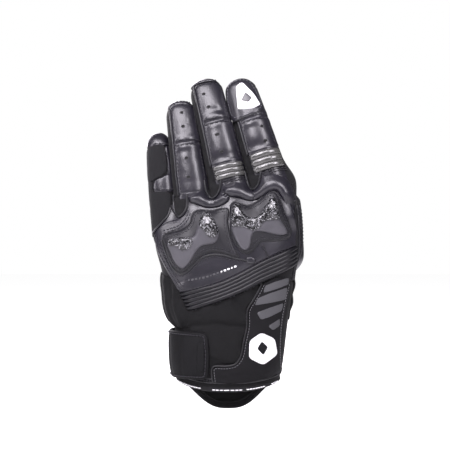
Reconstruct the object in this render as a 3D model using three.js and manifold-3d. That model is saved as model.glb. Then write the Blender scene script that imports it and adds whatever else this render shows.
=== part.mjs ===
// A left-hand short-cuff riding glove, built as an assembly of sewn panels, guards and a closure strap.
// Millimetres. +Z runs from the cuff to the fingertips, -Y is the back of the hand, +X is the thumb side.
// The origin is the centre of the cuff's opening, where the wrist goes in.
import * as THREE from "three";
import { mergeVertices } from "three/addons/utils/BufferGeometryUtils.js";
import Module from "manifold-3d";

const wasm = await Module();
wasm.setup();

// ---------------------------------------------------------------- driving dimensions

const WALL = 1.8; // leather with its lining
const GAP = 0.3; // between two pieces that lie face to face
const DEG = Math.PI / 180;

// Sections of the cuff and hand: height, outer side, thumb side, back and palm of an oval.
const SECTIONS = [
  { z: -18, left: -36, right: 38, back: -27, palm: 29 },
  { z: 0, left: -38.5, right: 40, back: -28, palm: 30 },
  { z: 12, left: -40, right: 43, back: -29, palm: 31 },
  { z: 33, left: -41, right: 46, back: -28, palm: 31 },
  { z: 46, left: -41.5, right: 47.5, back: -26, palm: 28 },
  { z: 68, left: -48, right: 51, back: -25, palm: 28 },
  { z: 91, left: -52, right: 54, back: -24, palm: 29 },
  { z: 106, left: -56, right: 56, back: -24, palm: 28.5 },
  { z: 121, left: -57.5, right: 56, back: -22, palm: 25 },
  { z: 135, left: -59, right: 55, back: -18, palm: 20 },
  { z: 150, left: -59, right: 53, back: -15, palm: 16 },
];
const SQUARENESS = 2.5; // exponent of the oval: 2 is an ellipse
const FINGER_SQUARENESS = 2.2;

// Fingers: knuckle centre, sideways lean, length along the middle line, half width at the knuckle and
// at the tip, and half depth.
const FINGERS = {
  index: { knuckle: [40.5, -4, 135], lean: 17.2, length: 111, baseWidth: 14, tipWidth: 12.2, halfDepth: 11.6 },
  middle: { knuckle: [7.5, -4, 131], lean: 13.7, length: 114, baseWidth: 13.4, tipWidth: 12.2, halfDepth: 11.8 },
  ring: { knuckle: [-25, -4, 123], lean: 7.6, length: 102, baseWidth: 11.4, tipWidth: 11.3, halfDepth: 11.2 },
  little: { knuckle: [-47, -2, 112], lean: 5.6, length: 87, baseWidth: 9.2, tipWidth: 8.8, halfDepth: 9.8 },
};
const TILT_AT_KNUCKLE = 4; // degrees that a finger leans towards the palm at its base
const TILT_GAINED = 26; // and how much more at its tip
const MIDDLE_JOINT_SHARE = 0.45; // where the middle joint lies along a finger
const DOME = 12; // length of a rounded fingertip
const FINGER_START = 2; // the finger's walls begin this far past the knuckle's axis
const FINGER_JOINT_FLEX = 50; // degrees
const JOINT_STRAIGHTEN = 8; // degrees that a middle joint can open past its resting curve

// Thumb: corners of its middle line, from inside the hand to the tip.
const THUMB = {
  line: [[42, 6, 74], [49, 22, 96], [48.5, 39, 121], [41, 49, 149]],
  baseWidth: 12,
  tipWidth: 11.4,
  halfDepth: 11.4,
  start: 38,
  joint: 66,
  flex: 45,
};

// The strap is sewn to the palm side of the cuff, wraps the outer side and closes on the back.
const STRAP = { low: 9, high: 41, from: 112, fold: 232, to: 330, thickness: 2, clearance: 3.1 };

// ---------------------------------------------------------------- curves

const lerp = (a, b, t) => a + (b - a) * t;

// A smooth value through a list of stations, read at height z.
function station(key, z) {
  let i = 0;
  while (i < SECTIONS.length - 2 && z > SECTIONS[i + 1].z) i += 1;
  const at = (n) => SECTIONS[Math.min(Math.max(n, 0), SECTIONS.length - 1)];
  const [p0, p1, p2, p3] = [at(i - 1), at(i), at(i + 1), at(i + 2)];
  const span = p2.z - p1.z;
  const t = Math.min(Math.max((z - p1.z) / span, 0), 1);
  const slope1 = p2.z > p0.z ? ((p2[key] - p0[key]) / (p2.z - p0.z)) * span : 0;
  const slope2 = p3.z > p1.z ? ((p3[key] - p1[key]) / (p3.z - p1.z)) * span : 0;
  const t2 = t * t;
  const t3 = t2 * t;
  return (
    (2 * t3 - 3 * t2 + 1) * p1[key] +
    (t3 - 2 * t2 + t) * slope1 +
    (3 * t2 - 2 * t3) * p2[key] +
    (t3 - t2) * slope2
  );
}

// A point of an oval's rim: angle 0 is the back, 90 the thumb side and 180 the palm.
function oval(angle, halfWidth, halfDepth, squareness) {
  const s = Math.sin(angle * DEG);
  const c = Math.cos(angle * DEG);
  const power = 2 / squareness;
  return [
    halfWidth * Math.sign(s) * Math.abs(s) ** power,
    -halfDepth * Math.sign(c) * Math.abs(c) ** power,
  ];
}

// The surface of the cuff and hand, moved outwards by grow.
function handPoint(angle, z, grow) {
  const [left, right, back, palm] = ["left", "right", "back", "palm"].map((k) => station(k, z));
  const [x, y] = oval(angle, (right - left) / 2 + grow, (palm - back) / 2 + grow, SQUARENESS);
  return new THREE.Vector3((left + right) / 2 + x, (back + palm) / 2 + y, z);
}

// A finger's middle line: its point and direction at distance s from the knuckle.
function fingerLine(finger, s) {
  const point = new THREE.Vector3(...finger.knuckle);
  const steps = 24;
  const lean = finger.lean * DEG;
  const direction = new THREE.Vector3();
  const aim = (at) => {
    const tilt = (TILT_AT_KNUCKLE + TILT_GAINED * Math.max(at / finger.length, 0) ** 2) * DEG;
    return direction.set(-Math.sin(lean) * Math.cos(tilt), Math.sin(tilt), Math.cos(lean) * Math.cos(tilt));
  };
  for (let i = 0; i < steps; i += 1) point.addScaledVector(aim(((i + 0.5) * s) / steps), s / steps);
  return { point, direction: aim(s).clone() };
}

// How much a finger's section narrows towards its tip: 1 along the tube, 0 at the very end.
function domeShare(s, length) {
  const t = Math.min(Math.max((s - (length - DOME)) / DOME, 0), 1);
  return (1 - t ** 2.3) ** (1 / 2.3);
}

// The surface of a finger, moved outwards by grow. Angles are those of the hand's oval.
function fingerPoint(finger, angle, s, grow) {
  const { point, direction } = fingerLine(finger, s);
  const lean = finger.lean * DEG;
  const across = new THREE.Vector3(Math.cos(lean), 0, Math.sin(lean));
  const depth = new THREE.Vector3().crossVectors(direction, across).normalize();
  const share = domeShare(s, finger.length + grow);
  const width = lerp(finger.baseWidth, finger.tipWidth, Math.min((2 * s) / finger.length, 1)) + grow;
  const [x, y] = oval(angle, width * share, (finger.halfDepth + grow) * share, FINGER_SQUARENESS);
  return point.addScaledVector(across, x).addScaledVector(depth, y);
}

const thumbCurve = new THREE.CatmullRomCurve3(THUMB.line.map((p) => new THREE.Vector3(...p)));
const THUMB_LENGTH = thumbCurve.getLength();
// The thumb bends across the palm, towards -X, so its own back faces +X.
const THUMB_ACROSS = new THREE.Vector3(0, 1, -0.28).normalize();

// The surface of the thumb, moved outwards by grow. Angle 0 is its own back and 180 its pad.
function thumbPoint(angle, s, grow) {
  const t = Math.min(Math.max(s / THUMB_LENGTH, 0), 1);
  const point = thumbCurve.getPointAt(t);
  const direction = thumbCurve.getTangentAt(t);
  point.addScaledVector(direction, s - t * THUMB_LENGTH);
  const depth = new THREE.Vector3().crossVectors(THUMB_ACROSS, direction).normalize();
  const across = new THREE.Vector3().crossVectors(direction, depth).normalize();
  const share = domeShare(s, THUMB_LENGTH + grow);
  const width = lerp(THUMB.baseWidth, THUMB.tipWidth, t) + grow;
  const [x, y] = oval(angle, width * share, (THUMB.halfDepth + grow) * share, FINGER_SQUARENESS);
  return point.addScaledVector(across, x).addScaledVector(depth, -y);
}

// ---------------------------------------------------------------- solids

// A closed plate on a surface, between two offsets. angles holds the columns, low and high give each
// column's ends, closed joins the last column to the first, and pole closes the far end in a point.
function plate({ surface, angles, low, high, rows, outer, inner, closed = false, pole = false }) {
  const vertices = [];
  const triangles = [];
  const columns = angles.length;
  const put = (p) => vertices.push(p) - 1;
  const layer = (offset) => {
    const grid = angles.map((angle) => {
      const top = pole ? high(angle) + offset(angle, 1) : high(angle);
      return Array.from({ length: pole ? rows : rows + 1 }, (_, r) =>
        put(surface(angle, lerp(low(angle), top, r / rows), offset(angle, r / rows))),
      );
    });
    const tip = pole ? put(surface(angles[0], high(angles[0]) + offset(0, 1), offset(0, 1))) : -1;
    return { grid, tip };
  };
  const face = (a, b, c) => triangles.push(a, b, c);
  const quad = (a, b, c, d) => {
    face(a, b, c);
    face(a, c, d);
  };
  const out = layer(outer);
  const back = layer(inner);
  const last = closed ? columns : columns - 1;
  const top = pole ? rows - 1 : rows;
  for (let c = 0; c < last; c += 1) {
    const n = (c + 1) % columns;
    for (let r = 0; r < top; r += 1) {
      quad(out.grid[c][r], out.grid[n][r], out.grid[n][r + 1], out.grid[c][r + 1]);
      quad(back.grid[c][r], back.grid[c][r + 1], back.grid[n][r + 1], back.grid[n][r]);
    }
    quad(out.grid[c][0], back.grid[c][0], back.grid[n][0], out.grid[n][0]);
    if (pole) {
      face(out.grid[c][top], out.grid[n][top], out.tip);
      face(back.grid[c][top], back.tip, back.grid[n][top]);
    } else {
      quad(out.grid[c][top], out.grid[n][top], back.grid[n][top], back.grid[c][top]);
    }
  }
  if (!closed) {
    for (let r = 0; r < top; r += 1) {
      const e = columns - 1;
      quad(out.grid[0][r], out.grid[0][r + 1], back.grid[0][r + 1], back.grid[0][r]);
      quad(out.grid[e][r], back.grid[e][r], back.grid[e][r + 1], out.grid[e][r + 1]);
    }
  }
  return geometryOf(vertices, triangles);
}

// The palm half of a finger past its joint, with the whole fingertip: a half tube from low(angle) up to
// cap, joined there to a closed dome that ends in a point at high. palm and back are the columns' angles.
function fingertipShell({ surface, palm, back, low, cap, high, palmRows, capRows, thickness }) {
  const vertices = [];
  const triangles = [];
  const put = (p) => vertices.push(p) - 1;
  const quad = (a, b, c, d) => triangles.push(a, b, c, a, c, d);
  const angles = [...palm, ...back];
  const columns = angles.length;
  const layer = (offset) => {
    const end = high + offset;
    const grid = angles.map((angle, c) => {
      const column = [];
      for (let r = 0; r < palmRows + capRows; r += 1) {
        if (r < palmRows && c >= palm.length) column.push(-1);
        else if (r < palmRows) column.push(put(surface(angle, lerp(low(angle), cap, r / palmRows), offset)));
        else column.push(put(surface(angle, lerp(cap, end, (r - palmRows) / capRows), offset)));
      }
      return column;
    });
    return { grid, tip: put(surface(angles[0], end, offset)) };
  };
  const out = layer(0);
  const within = layer(-thickness);
  const top = palmRows + capRows - 1;
  for (let c = 0; c < columns; c += 1) {
    const n = (c + 1) % columns;
    const first = c < palm.length - 1 ? 0 : palmRows;
    for (let r = first; r < top; r += 1) {
      quad(out.grid[c][r], out.grid[n][r], out.grid[n][r + 1], out.grid[c][r + 1]);
      quad(within.grid[c][r], within.grid[c][r + 1], within.grid[n][r + 1], within.grid[n][r]);
    }
    quad(out.grid[c][first], within.grid[c][first], within.grid[n][first], out.grid[n][first]);
    triangles.push(out.grid[c][top], out.grid[n][top], out.tip);
    triangles.push(within.grid[c][top], within.tip, within.grid[n][top]);
  }
  const e = palm.length - 1;
  for (let r = 0; r < palmRows; r += 1) {
    quad(out.grid[0][r], out.grid[0][r + 1], within.grid[0][r + 1], within.grid[0][r]);
    quad(out.grid[e][r], within.grid[e][r], within.grid[e][r + 1], out.grid[e][r + 1]);
  }
  return geometryOf(vertices, triangles);
}

function geometryOf(vertices, triangles) {
  const positions = new Float32Array(vertices.flatMap((v) => [v.x, v.y, v.z]));
  const geometry = new THREE.BufferGeometry();
  geometry.setAttribute("position", new THREE.BufferAttribute(positions, 3));
  geometry.setIndex(triangles);
  return geometry;
}

// A closed geometry as a manifold-3d solid, with its faces turned outwards.
function solidOf(geometry) {
  const triVerts = new Uint32Array(geometry.index.array);
  const vertProperties = new Float32Array(geometry.attributes.position.array);
  const made = new wasm.Manifold(new wasm.Mesh({ numProp: 3, vertProperties, triVerts }));
  if (made.volume() > 0) return made;
  for (let i = 0; i < triVerts.length; i += 3) {
    [triVerts[i + 1], triVerts[i + 2]] = [triVerts[i + 2], triVerts[i + 1]];
  }
  return new wasm.Manifold(new wasm.Mesh({ numProp: 3, vertProperties, triVerts }));
}

function geometryFrom(solid) {
  const mesh = solid.getMesh();
  const points = [];
  for (let i = 0; i < mesh.vertProperties.length; i += mesh.numProp) {
    points.push(new THREE.Vector3().fromArray(mesh.vertProperties, i));
  }
  return geometryOf(points, Array.from(mesh.triVerts));
}

const spread = (from, to, count) => Array.from({ length: count + 1 }, (_, i) => lerp(from, to, i / count));

// Columns at the same round angles on every panel, so that panels lying on each other stay parallel.
function gridColumns(from, to, step) {
  const inside = [];
  for (let a = Math.ceil((from + 1.5) / step) * step; a < to - 1.5; a += step) inside.push(a);
  return [from, ...inside, to];
}

// ---------------------------------------------------------------- materials

const paint = (colour, roughness, metalness = 0) =>
  new THREE.MeshStandardMaterial({ color: colour, roughness, metalness });
const LEATHER = paint(0x34323a, 0.42);
const SOFT_LEATHER = paint(0x2a292d, 0.6);
const STRETCH = paint(0x1c1b1f, 0.85);
const NEOPRENE = paint(0x151419, 0.8);
const GUARD = paint(0x232226, 0.5);
const CARBON = paint(0x3a3a3e, 0.25, 0.2);
const PRINT = paint(0x2e2d33, 0.5);
const REFLECTIVE = paint(0xf2f2f2, 0.35);
const WEBBING = paint(0x17161a, 0.75);

const glove = new THREE.Group();
function add(name, geometry, material) {
  const mesh = new THREE.Mesh(geometryFrom(solidOf(geometry)), material);
  mesh.name = name;
  glove.add(mesh);
  return mesh;
}

const always = (value) => (typeof value === "function" ? value : () => value);

// A panel of the cuff or hand, between two angles and two heights.
function handPlate({ from, to, step = 8, rows = 6, low, high, outer = 0, inner = -WALL, closed = false }) {
  return plate({
    surface: handPoint,
    angles: closed ? spread(from, to - step, (to - from) / step - 1) : gridColumns(from, to, step),
    low: always(low),
    high: always(high),
    rows,
    outer: always(outer),
    inner: always(inner),
    closed,
  });
}
const handPanel = (name, material, options) => add(name, handPlate(options), material);

// ---------------------------------------------------------------- seam lines of the hand

const side = (angle) => Math.sin(angle * DEG);
// Height of the row of knuckle axes, from the outer side to the thumb side.
const knuckleLine = (angle) => 130 + 12 * side(angle) - 10 * side(angle) ** 2;
const BACK_FROM = -66;
const BACK_TO = 62;
const SIDE_GAP = 0.55; // degrees between two panels, about 0.4 mm on the hand

// The stretch band round the wrist climbs towards the thumb on the back and is level on the palm.
const BAND_HEIGHT = 11.5;
const PALM_BAND_TOP = 72;
const PALM_BAND_FROM = 112;
const backBandTop = (angle) => 91 + 18 * side(angle);
function bandTop(angle) {
  if (angle <= BACK_TO) return backBandTop(Math.max(angle, BACK_FROM));
  const t = Math.min((angle - BACK_TO) / (PALM_BAND_FROM - BACK_TO), 1);
  return lerp(backBandTop(BACK_TO), PALM_BAND_TOP, t * t * (3 - 2 * t));
}
const bandLow = (angle) => bandTop(angle) - BAND_HEIGHT;
const BACK_TOP = (angle) => knuckleLine(angle) - 2;
const PALM_TOP = (angle) => knuckleLine(angle) - 9.5;

// ---------------------------------------------------------------- hand

handPanel("back_panel", LEATHER, {
  from: BACK_FROM,
  to: BACK_TO,
  rows: 6,
  low: (a) => bandTop(a) + GAP,
  high: BACK_TOP,
});

handPanel("outer_side_panel", STRETCH, {
  from: -98,
  to: BACK_FROM - SIDE_GAP,
  rows: 6,
  low: (a) => bandTop(a) + GAP,
  high: (a) => knuckleLine(a) - 4,
});

// The thumb's hole goes through this panel, which wraps from the back to the palm.
const THUMB_HOLE = 13.6;
const THUMB_PANEL_TO = 150;

// A three.js shape as a solid, with the points that its faces share joined.
function solidOfShape(geometry) {
  geometry.deleteAttribute("normal");
  geometry.deleteAttribute("uv");
  return solidOf(mergeVertices(geometry));
}

function thumbHole() {
  const at = 0.3;
  const bar = new THREE.CylinderGeometry(THUMB_HOLE, THUMB_HOLE, 40, 16);
  const up = new THREE.Vector3(0, 1, 0);
  bar.applyQuaternion(new THREE.Quaternion().setFromUnitVectors(up, thumbCurve.getTangentAt(at)));
  const middle = thumbCurve.getPointAt(at);
  return solidOfShape(bar.translate(middle.x, middle.y, middle.z));
}

const thumbPanel = handPlate({
  from: BACK_TO + SIDE_GAP,
  to: THUMB_PANEL_TO,
  rows: 7,
  low: (a) => bandTop(a) + GAP,
  high: PALM_TOP,
});
const piercedPanel = solidOf(thumbPanel).subtract(thumbHole());
const [largestPiece] = piercedPanel.decompose().sort((a, b) => b.volume() - a.volume());
add("thumb_gusset_panel", geometryFrom(largestPiece), SOFT_LEATHER);

handPanel("palm_panel", LEATHER, {
  from: THUMB_PANEL_TO + SIDE_GAP,
  to: 262 - SIDE_GAP,
  rows: 7,
  low: PALM_BAND_TOP + GAP,
  high: PALM_TOP,
});

handPanel("palm_finger_roots", SOFT_LEATHER, {
  from: 120,
  to: 258,
  rows: 2,
  low: (a) => PALM_TOP(a) + GAP,
  high: (a) => knuckleLine(a) - 1,
  inner: -1.2,
});

// Lies on the palm's heel: a hard slider on the outer side and a leather patch beside it.
handPanel("palm_slider", GUARD, {
  from: 202,
  to: 244,
  rows: 4,
  low: 76,
  high: 100,
  outer: (a, r) => 3 + 2.4 * Math.sin(Math.PI * r) * Math.sin((Math.PI * (a - 202)) / 42),
  inner: GAP,
});
handPanel("palm_patch", SOFT_LEATHER, {
  from: 154,
  to: 200,
  rows: 4,
  low: 76,
  high: (a) => 100 - 8 * ((a - 154) / 46),
  outer: 1.5,
  inner: GAP,
});

// ---------------------------------------------------------------- knuckle guards

const PAD_THICK = 3;
const INSERT_THICK = 3.4;
// Each guard is a soft moulded pad under a hard insert that rises over its two knuckles.
function knuckleGuard(name, from, to, bottom) {
  handPanel(`knuckle_pad_${name}`, GUARD, {
    from,
    to,
    columns: 8,
    rows: 5,
    low: bottom,
    high: (a) => knuckleLine(a) - 2.4,
    outer: (_, r) => GAP + PAD_THICK * (0.55 + 0.45 * Math.sin(Math.PI * r)),
    inner: GAP,
  });
  const edge = (to - from) * 0.12;
  const wave = (a) => Math.cos((2 * Math.PI * (a - from)) / (to - from));
  handPanel(`knuckle_insert_${name}`, CARBON, {
    from: from + edge,
    to: to - edge,
    columns: 10,
    rows: 5,
    low: (a) => lerp(bottom(a), knuckleLine(a), 0.3 - 0.14 * wave(a)),
    high: (a) => knuckleLine(a) - 6 - 2.5 * (1 - wave(a)) / 2,
    outer: (a, r) => GAP * 2 + PAD_THICK + INSERT_THICK * Math.sin(Math.PI * r) * (0.7 + 0.3 * wave(a)) + 0.5,
    inner: GAP * 2 + PAD_THICK,
  });
}
knuckleGuard("index_middle", 4, 54, () => 108);
knuckleGuard("ring_little", -56, -4, (a) => 96 + 9 * ((a + 56) / 52));

// ---------------------------------------------------------------- wrist

const RIBS = 4;
const ribHeight = (rows) => (r) => 0.4 + 1.2 * Math.abs(Math.sin((Math.PI * RIBS * Math.round(r * rows)) / rows));
handPanel("wrist_ribs", LEATHER, {
  from: BACK_FROM,
  to: BACK_TO,
  step: 16,
  rows: 16,
  low: (a) => bandLow(a) + GAP,
  high: (a) => bandTop(a) - GAP,
  outer: (_, r) => ribHeight(16)(r),
  inner: -1,
});
handPanel("wrist_palm_gusset", STRETCH, {
  from: BACK_TO + SIDE_GAP,
  to: 261,
  rows: 2,
  low: (a) => bandLow(a) + GAP,
  high: (a) => bandTop(a) - GAP,
  inner: -1.2,
});

// ---------------------------------------------------------------- cuff

const LINING = 0.8;
const CUFF_HEM = 2.5;
const PRINT_FROM = 14;
const PRINT_TO = 76;
handPanel("cuff_back_panel", NEOPRENE, {
  from: BACK_FROM,
  to: PRINT_FROM - SIDE_GAP,
  rows: 7,
  low: CUFF_HEM,
  high: (a) => bandLow(a) - GAP,
});
handPanel("cuff_thumb_panel", PRINT, {
  from: PRINT_FROM,
  to: PRINT_TO,
  rows: 8,
  low: CUFF_HEM,
  high: (a) => bandLow(a) - GAP,
});
handPanel("cuff_outer_panel", NEOPRENE, {
  from: -98,
  to: BACK_FROM - SIDE_GAP,
  rows: 6,
  low: CUFF_HEM,
  high: (a) => bandLow(a) - GAP,
});

// The palm side of the cuff runs on below the opening as a rounded tongue.
const TONGUE = 17;
const TONGUE_HALF_ANGLE = 84;
function tongueEdge(a) {
  const share = Math.min(Math.abs(a - 180) / TONGUE_HALF_ANGLE, 1);
  return -TONGUE * Math.max(0, Math.cos((share * Math.PI) / 2)) ** 0.8;
}
const PALM_CUFF_FROM = PRINT_TO + SIDE_GAP;
handPanel("cuff_palm_panel", NEOPRENE, {
  from: PALM_CUFF_FROM,
  to: 262 - SIDE_GAP,
  rows: 7,
  low: (a) => tongueEdge(a) + CUFF_HEM,
  high: (a) => bandLow(a) - GAP,
});

const HEM = { outer: 1.1, inner: -WALL - 0.6 };
handPanel("cuff_binding_back", WEBBING, {
  from: -97.5,
  to: 95.5,
  rows: 1,
  low: -0.6,
  high: CUFF_HEM - GAP,
  ...HEM,
});
handPanel("cuff_binding_tongue", WEBBING, {
  from: 96,
  to: 262,
  rows: 1,
  low: (a) => tongueEdge(a) - 0.6,
  high: (a) => tongueEdge(a) + CUFF_HEM - GAP,
  ...HEM,
});
handPanel("cuff_lining", STRETCH, {
  from: -98,
  to: 262,
  closed: true,
  step: 12,
  rows: 4,
  low: 3,
  high: 58,
  outer: -WALL - GAP * 2,
  inner: -WALL - GAP * 2 - LINING,
});
const EMBLEM = { middle: 38, halfAngle: 18, low: 16, high: 41, slope: 6 };
const emblemSlope = (a) => (EMBLEM.slope * Math.abs(a - EMBLEM.middle)) / EMBLEM.halfAngle;
handPanel("cuff_emblem", REFLECTIVE, {
  from: EMBLEM.middle - EMBLEM.halfAngle,
  to: EMBLEM.middle + EMBLEM.halfAngle,
  rows: 4,
  low: (a) => EMBLEM.low + emblemSlope(a),
  high: (a) => EMBLEM.high - emblemSlope(a),
  outer: 1,
  inner: GAP,
});

// ---------------------------------------------------------------- closure strap

const strapLayer = (options) => ({ rows: 4, ...options });
handPanel("strap_anchor", WEBBING, strapLayer({
  from: STRAP.from,
  to: STRAP.fold - SIDE_GAP,
  low: STRAP.low,
  high: STRAP.high,
  outer: STRAP.clearance,
  inner: GAP,
}));
handPanel("loop_pad", WEBBING, strapLayer({
  from: 264,
  to: 312,
  low: STRAP.low + 4,
  high: STRAP.high - 4,
  outer: 1.3,
  inner: GAP,
}));
handPanel("hook_pad", WEBBING, strapLayer({
  from: 272,
  to: 320,
  low: STRAP.low + 5,
  high: STRAP.high - 5,
  outer: STRAP.clearance - GAP,
  inner: 1.7,
}));
handPanel("closure_strap", WEBBING, strapLayer({
  from: STRAP.fold,
  to: STRAP.to,
  low: STRAP.low,
  high: STRAP.high,
  outer: STRAP.clearance + STRAP.thickness,
  inner: STRAP.clearance,
}));
handPanel("strap_pull_tab", GUARD, strapLayer({
  from: 312,
  to: STRAP.to + 4,
  low: STRAP.low + 8,
  high: STRAP.high - 8,
  outer: STRAP.clearance + STRAP.thickness + GAP + 1.2,
  inner: STRAP.clearance + STRAP.thickness + GAP,
}));

// ---------------------------------------------------------------- fingers and thumb

const BACK_HALF = 84; // the back panel's half angle; the palm panel starts a little further on
const PALM_FROM = BACK_HALF + 2;
const CAP_STEP = 28.7; // degrees between the fingertip's columns across the back
const JOINT_GAP = 0.5;

// The walls of a jointed tube. cut is where they part for the joint, and flex how far it bends.
function jointedTube(name, tube) {
  const { surface, start, joint, length, depth, flex, materials } = tube;
  const palmWedge = Math.tan((flex / 2 + 2) * DEG);
  const backWedge = Math.tan((JOINT_STRAIGHTEN / 2 + 1) * DEG);
  const halfGap = (angle) => {
    const away = -depth * Math.cos(angle * DEG); // towards the palm from the joint's axis
    return JOINT_GAP + (away > 0 ? palmWedge * away : -backWedge * away);
  };
  const before = (a) => joint - halfGap(a);
  const after = (a) => joint + halfGap(a);
  const capStart = length - 9;
  const fixed = (value) => () => value;
  const walls = { surface, outer: fixed(0), inner: fixed(-WALL) };
  add(`${name}_back_proximal`, plate({
    ...walls,
    angles: spread(-BACK_HALF, BACK_HALF, 8),
    low: start,
    high: before,
    rows: 5,
  }), materials.back);
  add(`${name}_palm_proximal`, plate({
    ...walls,
    angles: spread(PALM_FROM, 360 - PALM_FROM, 10),
    low: start,
    high: before,
    rows: 4,
  }), materials.palm);
  add(`${name}_back_distal`, plate({
    ...walls,
    angles: spread(-BACK_HALF, BACK_HALF, 8),
    low: after,
    high: fixed(capStart - GAP),
    rows: 5,
  }), materials.back);
  // The palm panel wraps over the fingertip and ends in a seam on the back.
  add(`${name}_palm_distal`, fingertipShell({
    surface,
    palm: spread(PALM_FROM, 360 - PALM_FROM, 10),
    back: spread(360 - PALM_FROM + CAP_STEP, 360 + PALM_FROM - CAP_STEP, 4),
    low: after,
    cap: capStart,
    high: length,
    palmRows: 5,
    capRows: 4,
    thickness: WALL,
  }), materials.palm);
  add(`${name}_flex_gusset`, plate({
    surface,
    angles: spread(112, 248, 8),
    low: (a) => before(a) + GAP,
    high: (a) => after(a) - GAP,
    rows: 3,
    outer: fixed(-0.2),
    inner: fixed(-1.4),
  }), SOFT_LEATHER);
}

for (const [name, finger] of Object.entries(FINGERS)) {
  const surface = (angle, s, grow) => fingerPoint(finger, angle, s, grow);
  const joint = finger.length * MIDDLE_JOINT_SHARE;
  jointedTube(name, {
    surface,
    start: () => FINGER_START,
    joint,
    length: finger.length,
    depth: finger.halfDepth,
    flex: FINGER_JOINT_FLEX,
    materials: { back: LEATHER, palm: SOFT_LEATHER },
  });
  // Padded ribs on the backs of the two longest working fingers, just below the middle joint.
  if (name === "index" || name === "middle") {
    const rows = 12;
    add(`${name}_finger_ribs`, plate({
      surface,
      angles: spread(-62, 62, 7),
      low: () => joint - 25,
      high: () => joint - 4,
      rows,
      outer: (_, r) => 0.7 + 1.8 * Math.abs(Math.sin((Math.PI * 3 * Math.round(r * rows)) / rows)),
      inner: () => GAP,
    }), LEATHER);
  }
}

const indexSurface = (angle, s, grow) => fingerPoint(FINGERS.index, angle, s, grow);
add("index_tip_patch", plate({
  surface: indexSurface,
  angles: spread(-38, 46, 6),
  low: (a) => 68 + 3 * Math.abs(a / 40),
  high: () => 90,
  rows: 5,
  outer: () => 1.2,
  inner: () => GAP,
}), REFLECTIVE);

const littleSurface = (angle, s, grow) => fingerPoint(FINGERS.little, angle, s, grow);
add("little_outer_patch", plate({
  surface: littleSurface,
  angles: spread(-82, -8, 5),
  low: (a) => FINGERS.little.length * MIDDLE_JOINT_SHARE + 4 + 5 * Math.max(0, (a + 40) / 32),
  high: () => FINGERS.little.length - 16,
  rows: 4,
  outer: () => 1.1,
  inner: () => GAP,
}), STRETCH);

jointedTube("thumb", {
  surface: thumbPoint,
  start: () => THUMB.start,
  joint: THUMB.joint,
  length: THUMB_LENGTH,
  depth: THUMB.halfDepth,
  flex: THUMB.flex,
  materials: { back: LEATHER, palm: SOFT_LEATHER },
});

export default glove;
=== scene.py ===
import math
import random

import bmesh
import bpy
import numpy as np
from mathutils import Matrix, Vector, geometry


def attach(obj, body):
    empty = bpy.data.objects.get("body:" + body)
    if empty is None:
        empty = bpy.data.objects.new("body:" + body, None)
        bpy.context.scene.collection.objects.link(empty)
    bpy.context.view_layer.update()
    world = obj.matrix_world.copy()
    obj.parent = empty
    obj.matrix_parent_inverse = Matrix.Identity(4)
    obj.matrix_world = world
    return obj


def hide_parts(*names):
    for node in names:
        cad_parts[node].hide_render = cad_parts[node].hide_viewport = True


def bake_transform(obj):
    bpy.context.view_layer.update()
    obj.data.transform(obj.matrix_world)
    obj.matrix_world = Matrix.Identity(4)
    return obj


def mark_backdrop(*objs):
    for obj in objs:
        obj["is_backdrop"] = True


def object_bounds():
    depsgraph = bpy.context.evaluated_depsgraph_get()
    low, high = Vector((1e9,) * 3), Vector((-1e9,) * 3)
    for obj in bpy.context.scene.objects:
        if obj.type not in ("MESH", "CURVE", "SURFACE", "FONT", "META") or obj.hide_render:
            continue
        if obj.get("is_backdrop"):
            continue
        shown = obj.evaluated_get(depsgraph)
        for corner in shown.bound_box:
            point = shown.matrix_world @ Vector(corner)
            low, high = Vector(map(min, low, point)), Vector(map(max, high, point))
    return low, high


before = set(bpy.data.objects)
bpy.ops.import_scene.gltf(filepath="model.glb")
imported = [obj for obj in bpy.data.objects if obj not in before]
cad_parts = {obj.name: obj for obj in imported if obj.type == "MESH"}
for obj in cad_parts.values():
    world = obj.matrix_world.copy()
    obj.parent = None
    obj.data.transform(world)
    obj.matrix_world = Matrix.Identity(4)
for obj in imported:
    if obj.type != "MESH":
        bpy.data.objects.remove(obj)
CAD_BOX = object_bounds()
MM = 0.001

# ---------------------------------------------------------------- the glove's form, in millimetres

# Ovals of the cuff and hand: height, outer side, thumb side, back and palm.
SECTIONS = np.array([
    (-18, -36, 38, -27, 29),
    (0, -38.5, 40, -28, 30),
    (12, -40, 43, -29, 31),
    (33, -41, 46, -28, 31),
    (46, -41.5, 47.5, -26, 28),
    (68, -48, 51, -25, 28),
    (91, -52, 54, -24, 29),
    (106, -56, 56, -24, 28.5),
    (121, -57.5, 56, -22, 25),
    (135, -59, 55, -18, 20),
    (150, -59, 53, -15, 16),
], float)
HAND_POWER = 2.5
FINGER_POWER = 2.2

# Knuckle centre, sideways lean in degrees, length, half widths from the knuckle to the tip, half depth.
FINGERS = {
    "index": dict(knuckle=(40.5, -4, 135), lean=17.2, length=111, widths=(15.4, 15.4, 13.9, 12.6),
                  depth=11.8),
    "middle": dict(knuckle=(7.5, -4, 131), lean=13.7, length=114, widths=(15.2, 15.2, 13.7, 12.8), depth=12),
    "ring": dict(knuckle=(-25, -4, 123), lean=7.6, length=102, widths=(13.3, 13.9, 12.5, 11.7), depth=11.4),
    "little": dict(knuckle=(-47, -2, 112), lean=5.6, length=87, widths=(10.6, 10.4, 10, 9.0), depth=9.8),
}
TILT = (4, 26)  # degrees that a finger leans forward at its root, and how much more at its tip
MIDDLE_JOINT = 0.45  # the middle joint's place, as a share of the finger's length
DOME = 13  # the length of a tip's rounded end
THUMB = dict(line=((42, 6, 74), (49, 22, 96), (48.5, 39, 121), (41, 49, 149)), widths=(12, 11.4), depth=11.4)
THUMB_SIDE = -0.28  # how far the thumb's sideways direction leans down for each millimetre towards the palm


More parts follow.
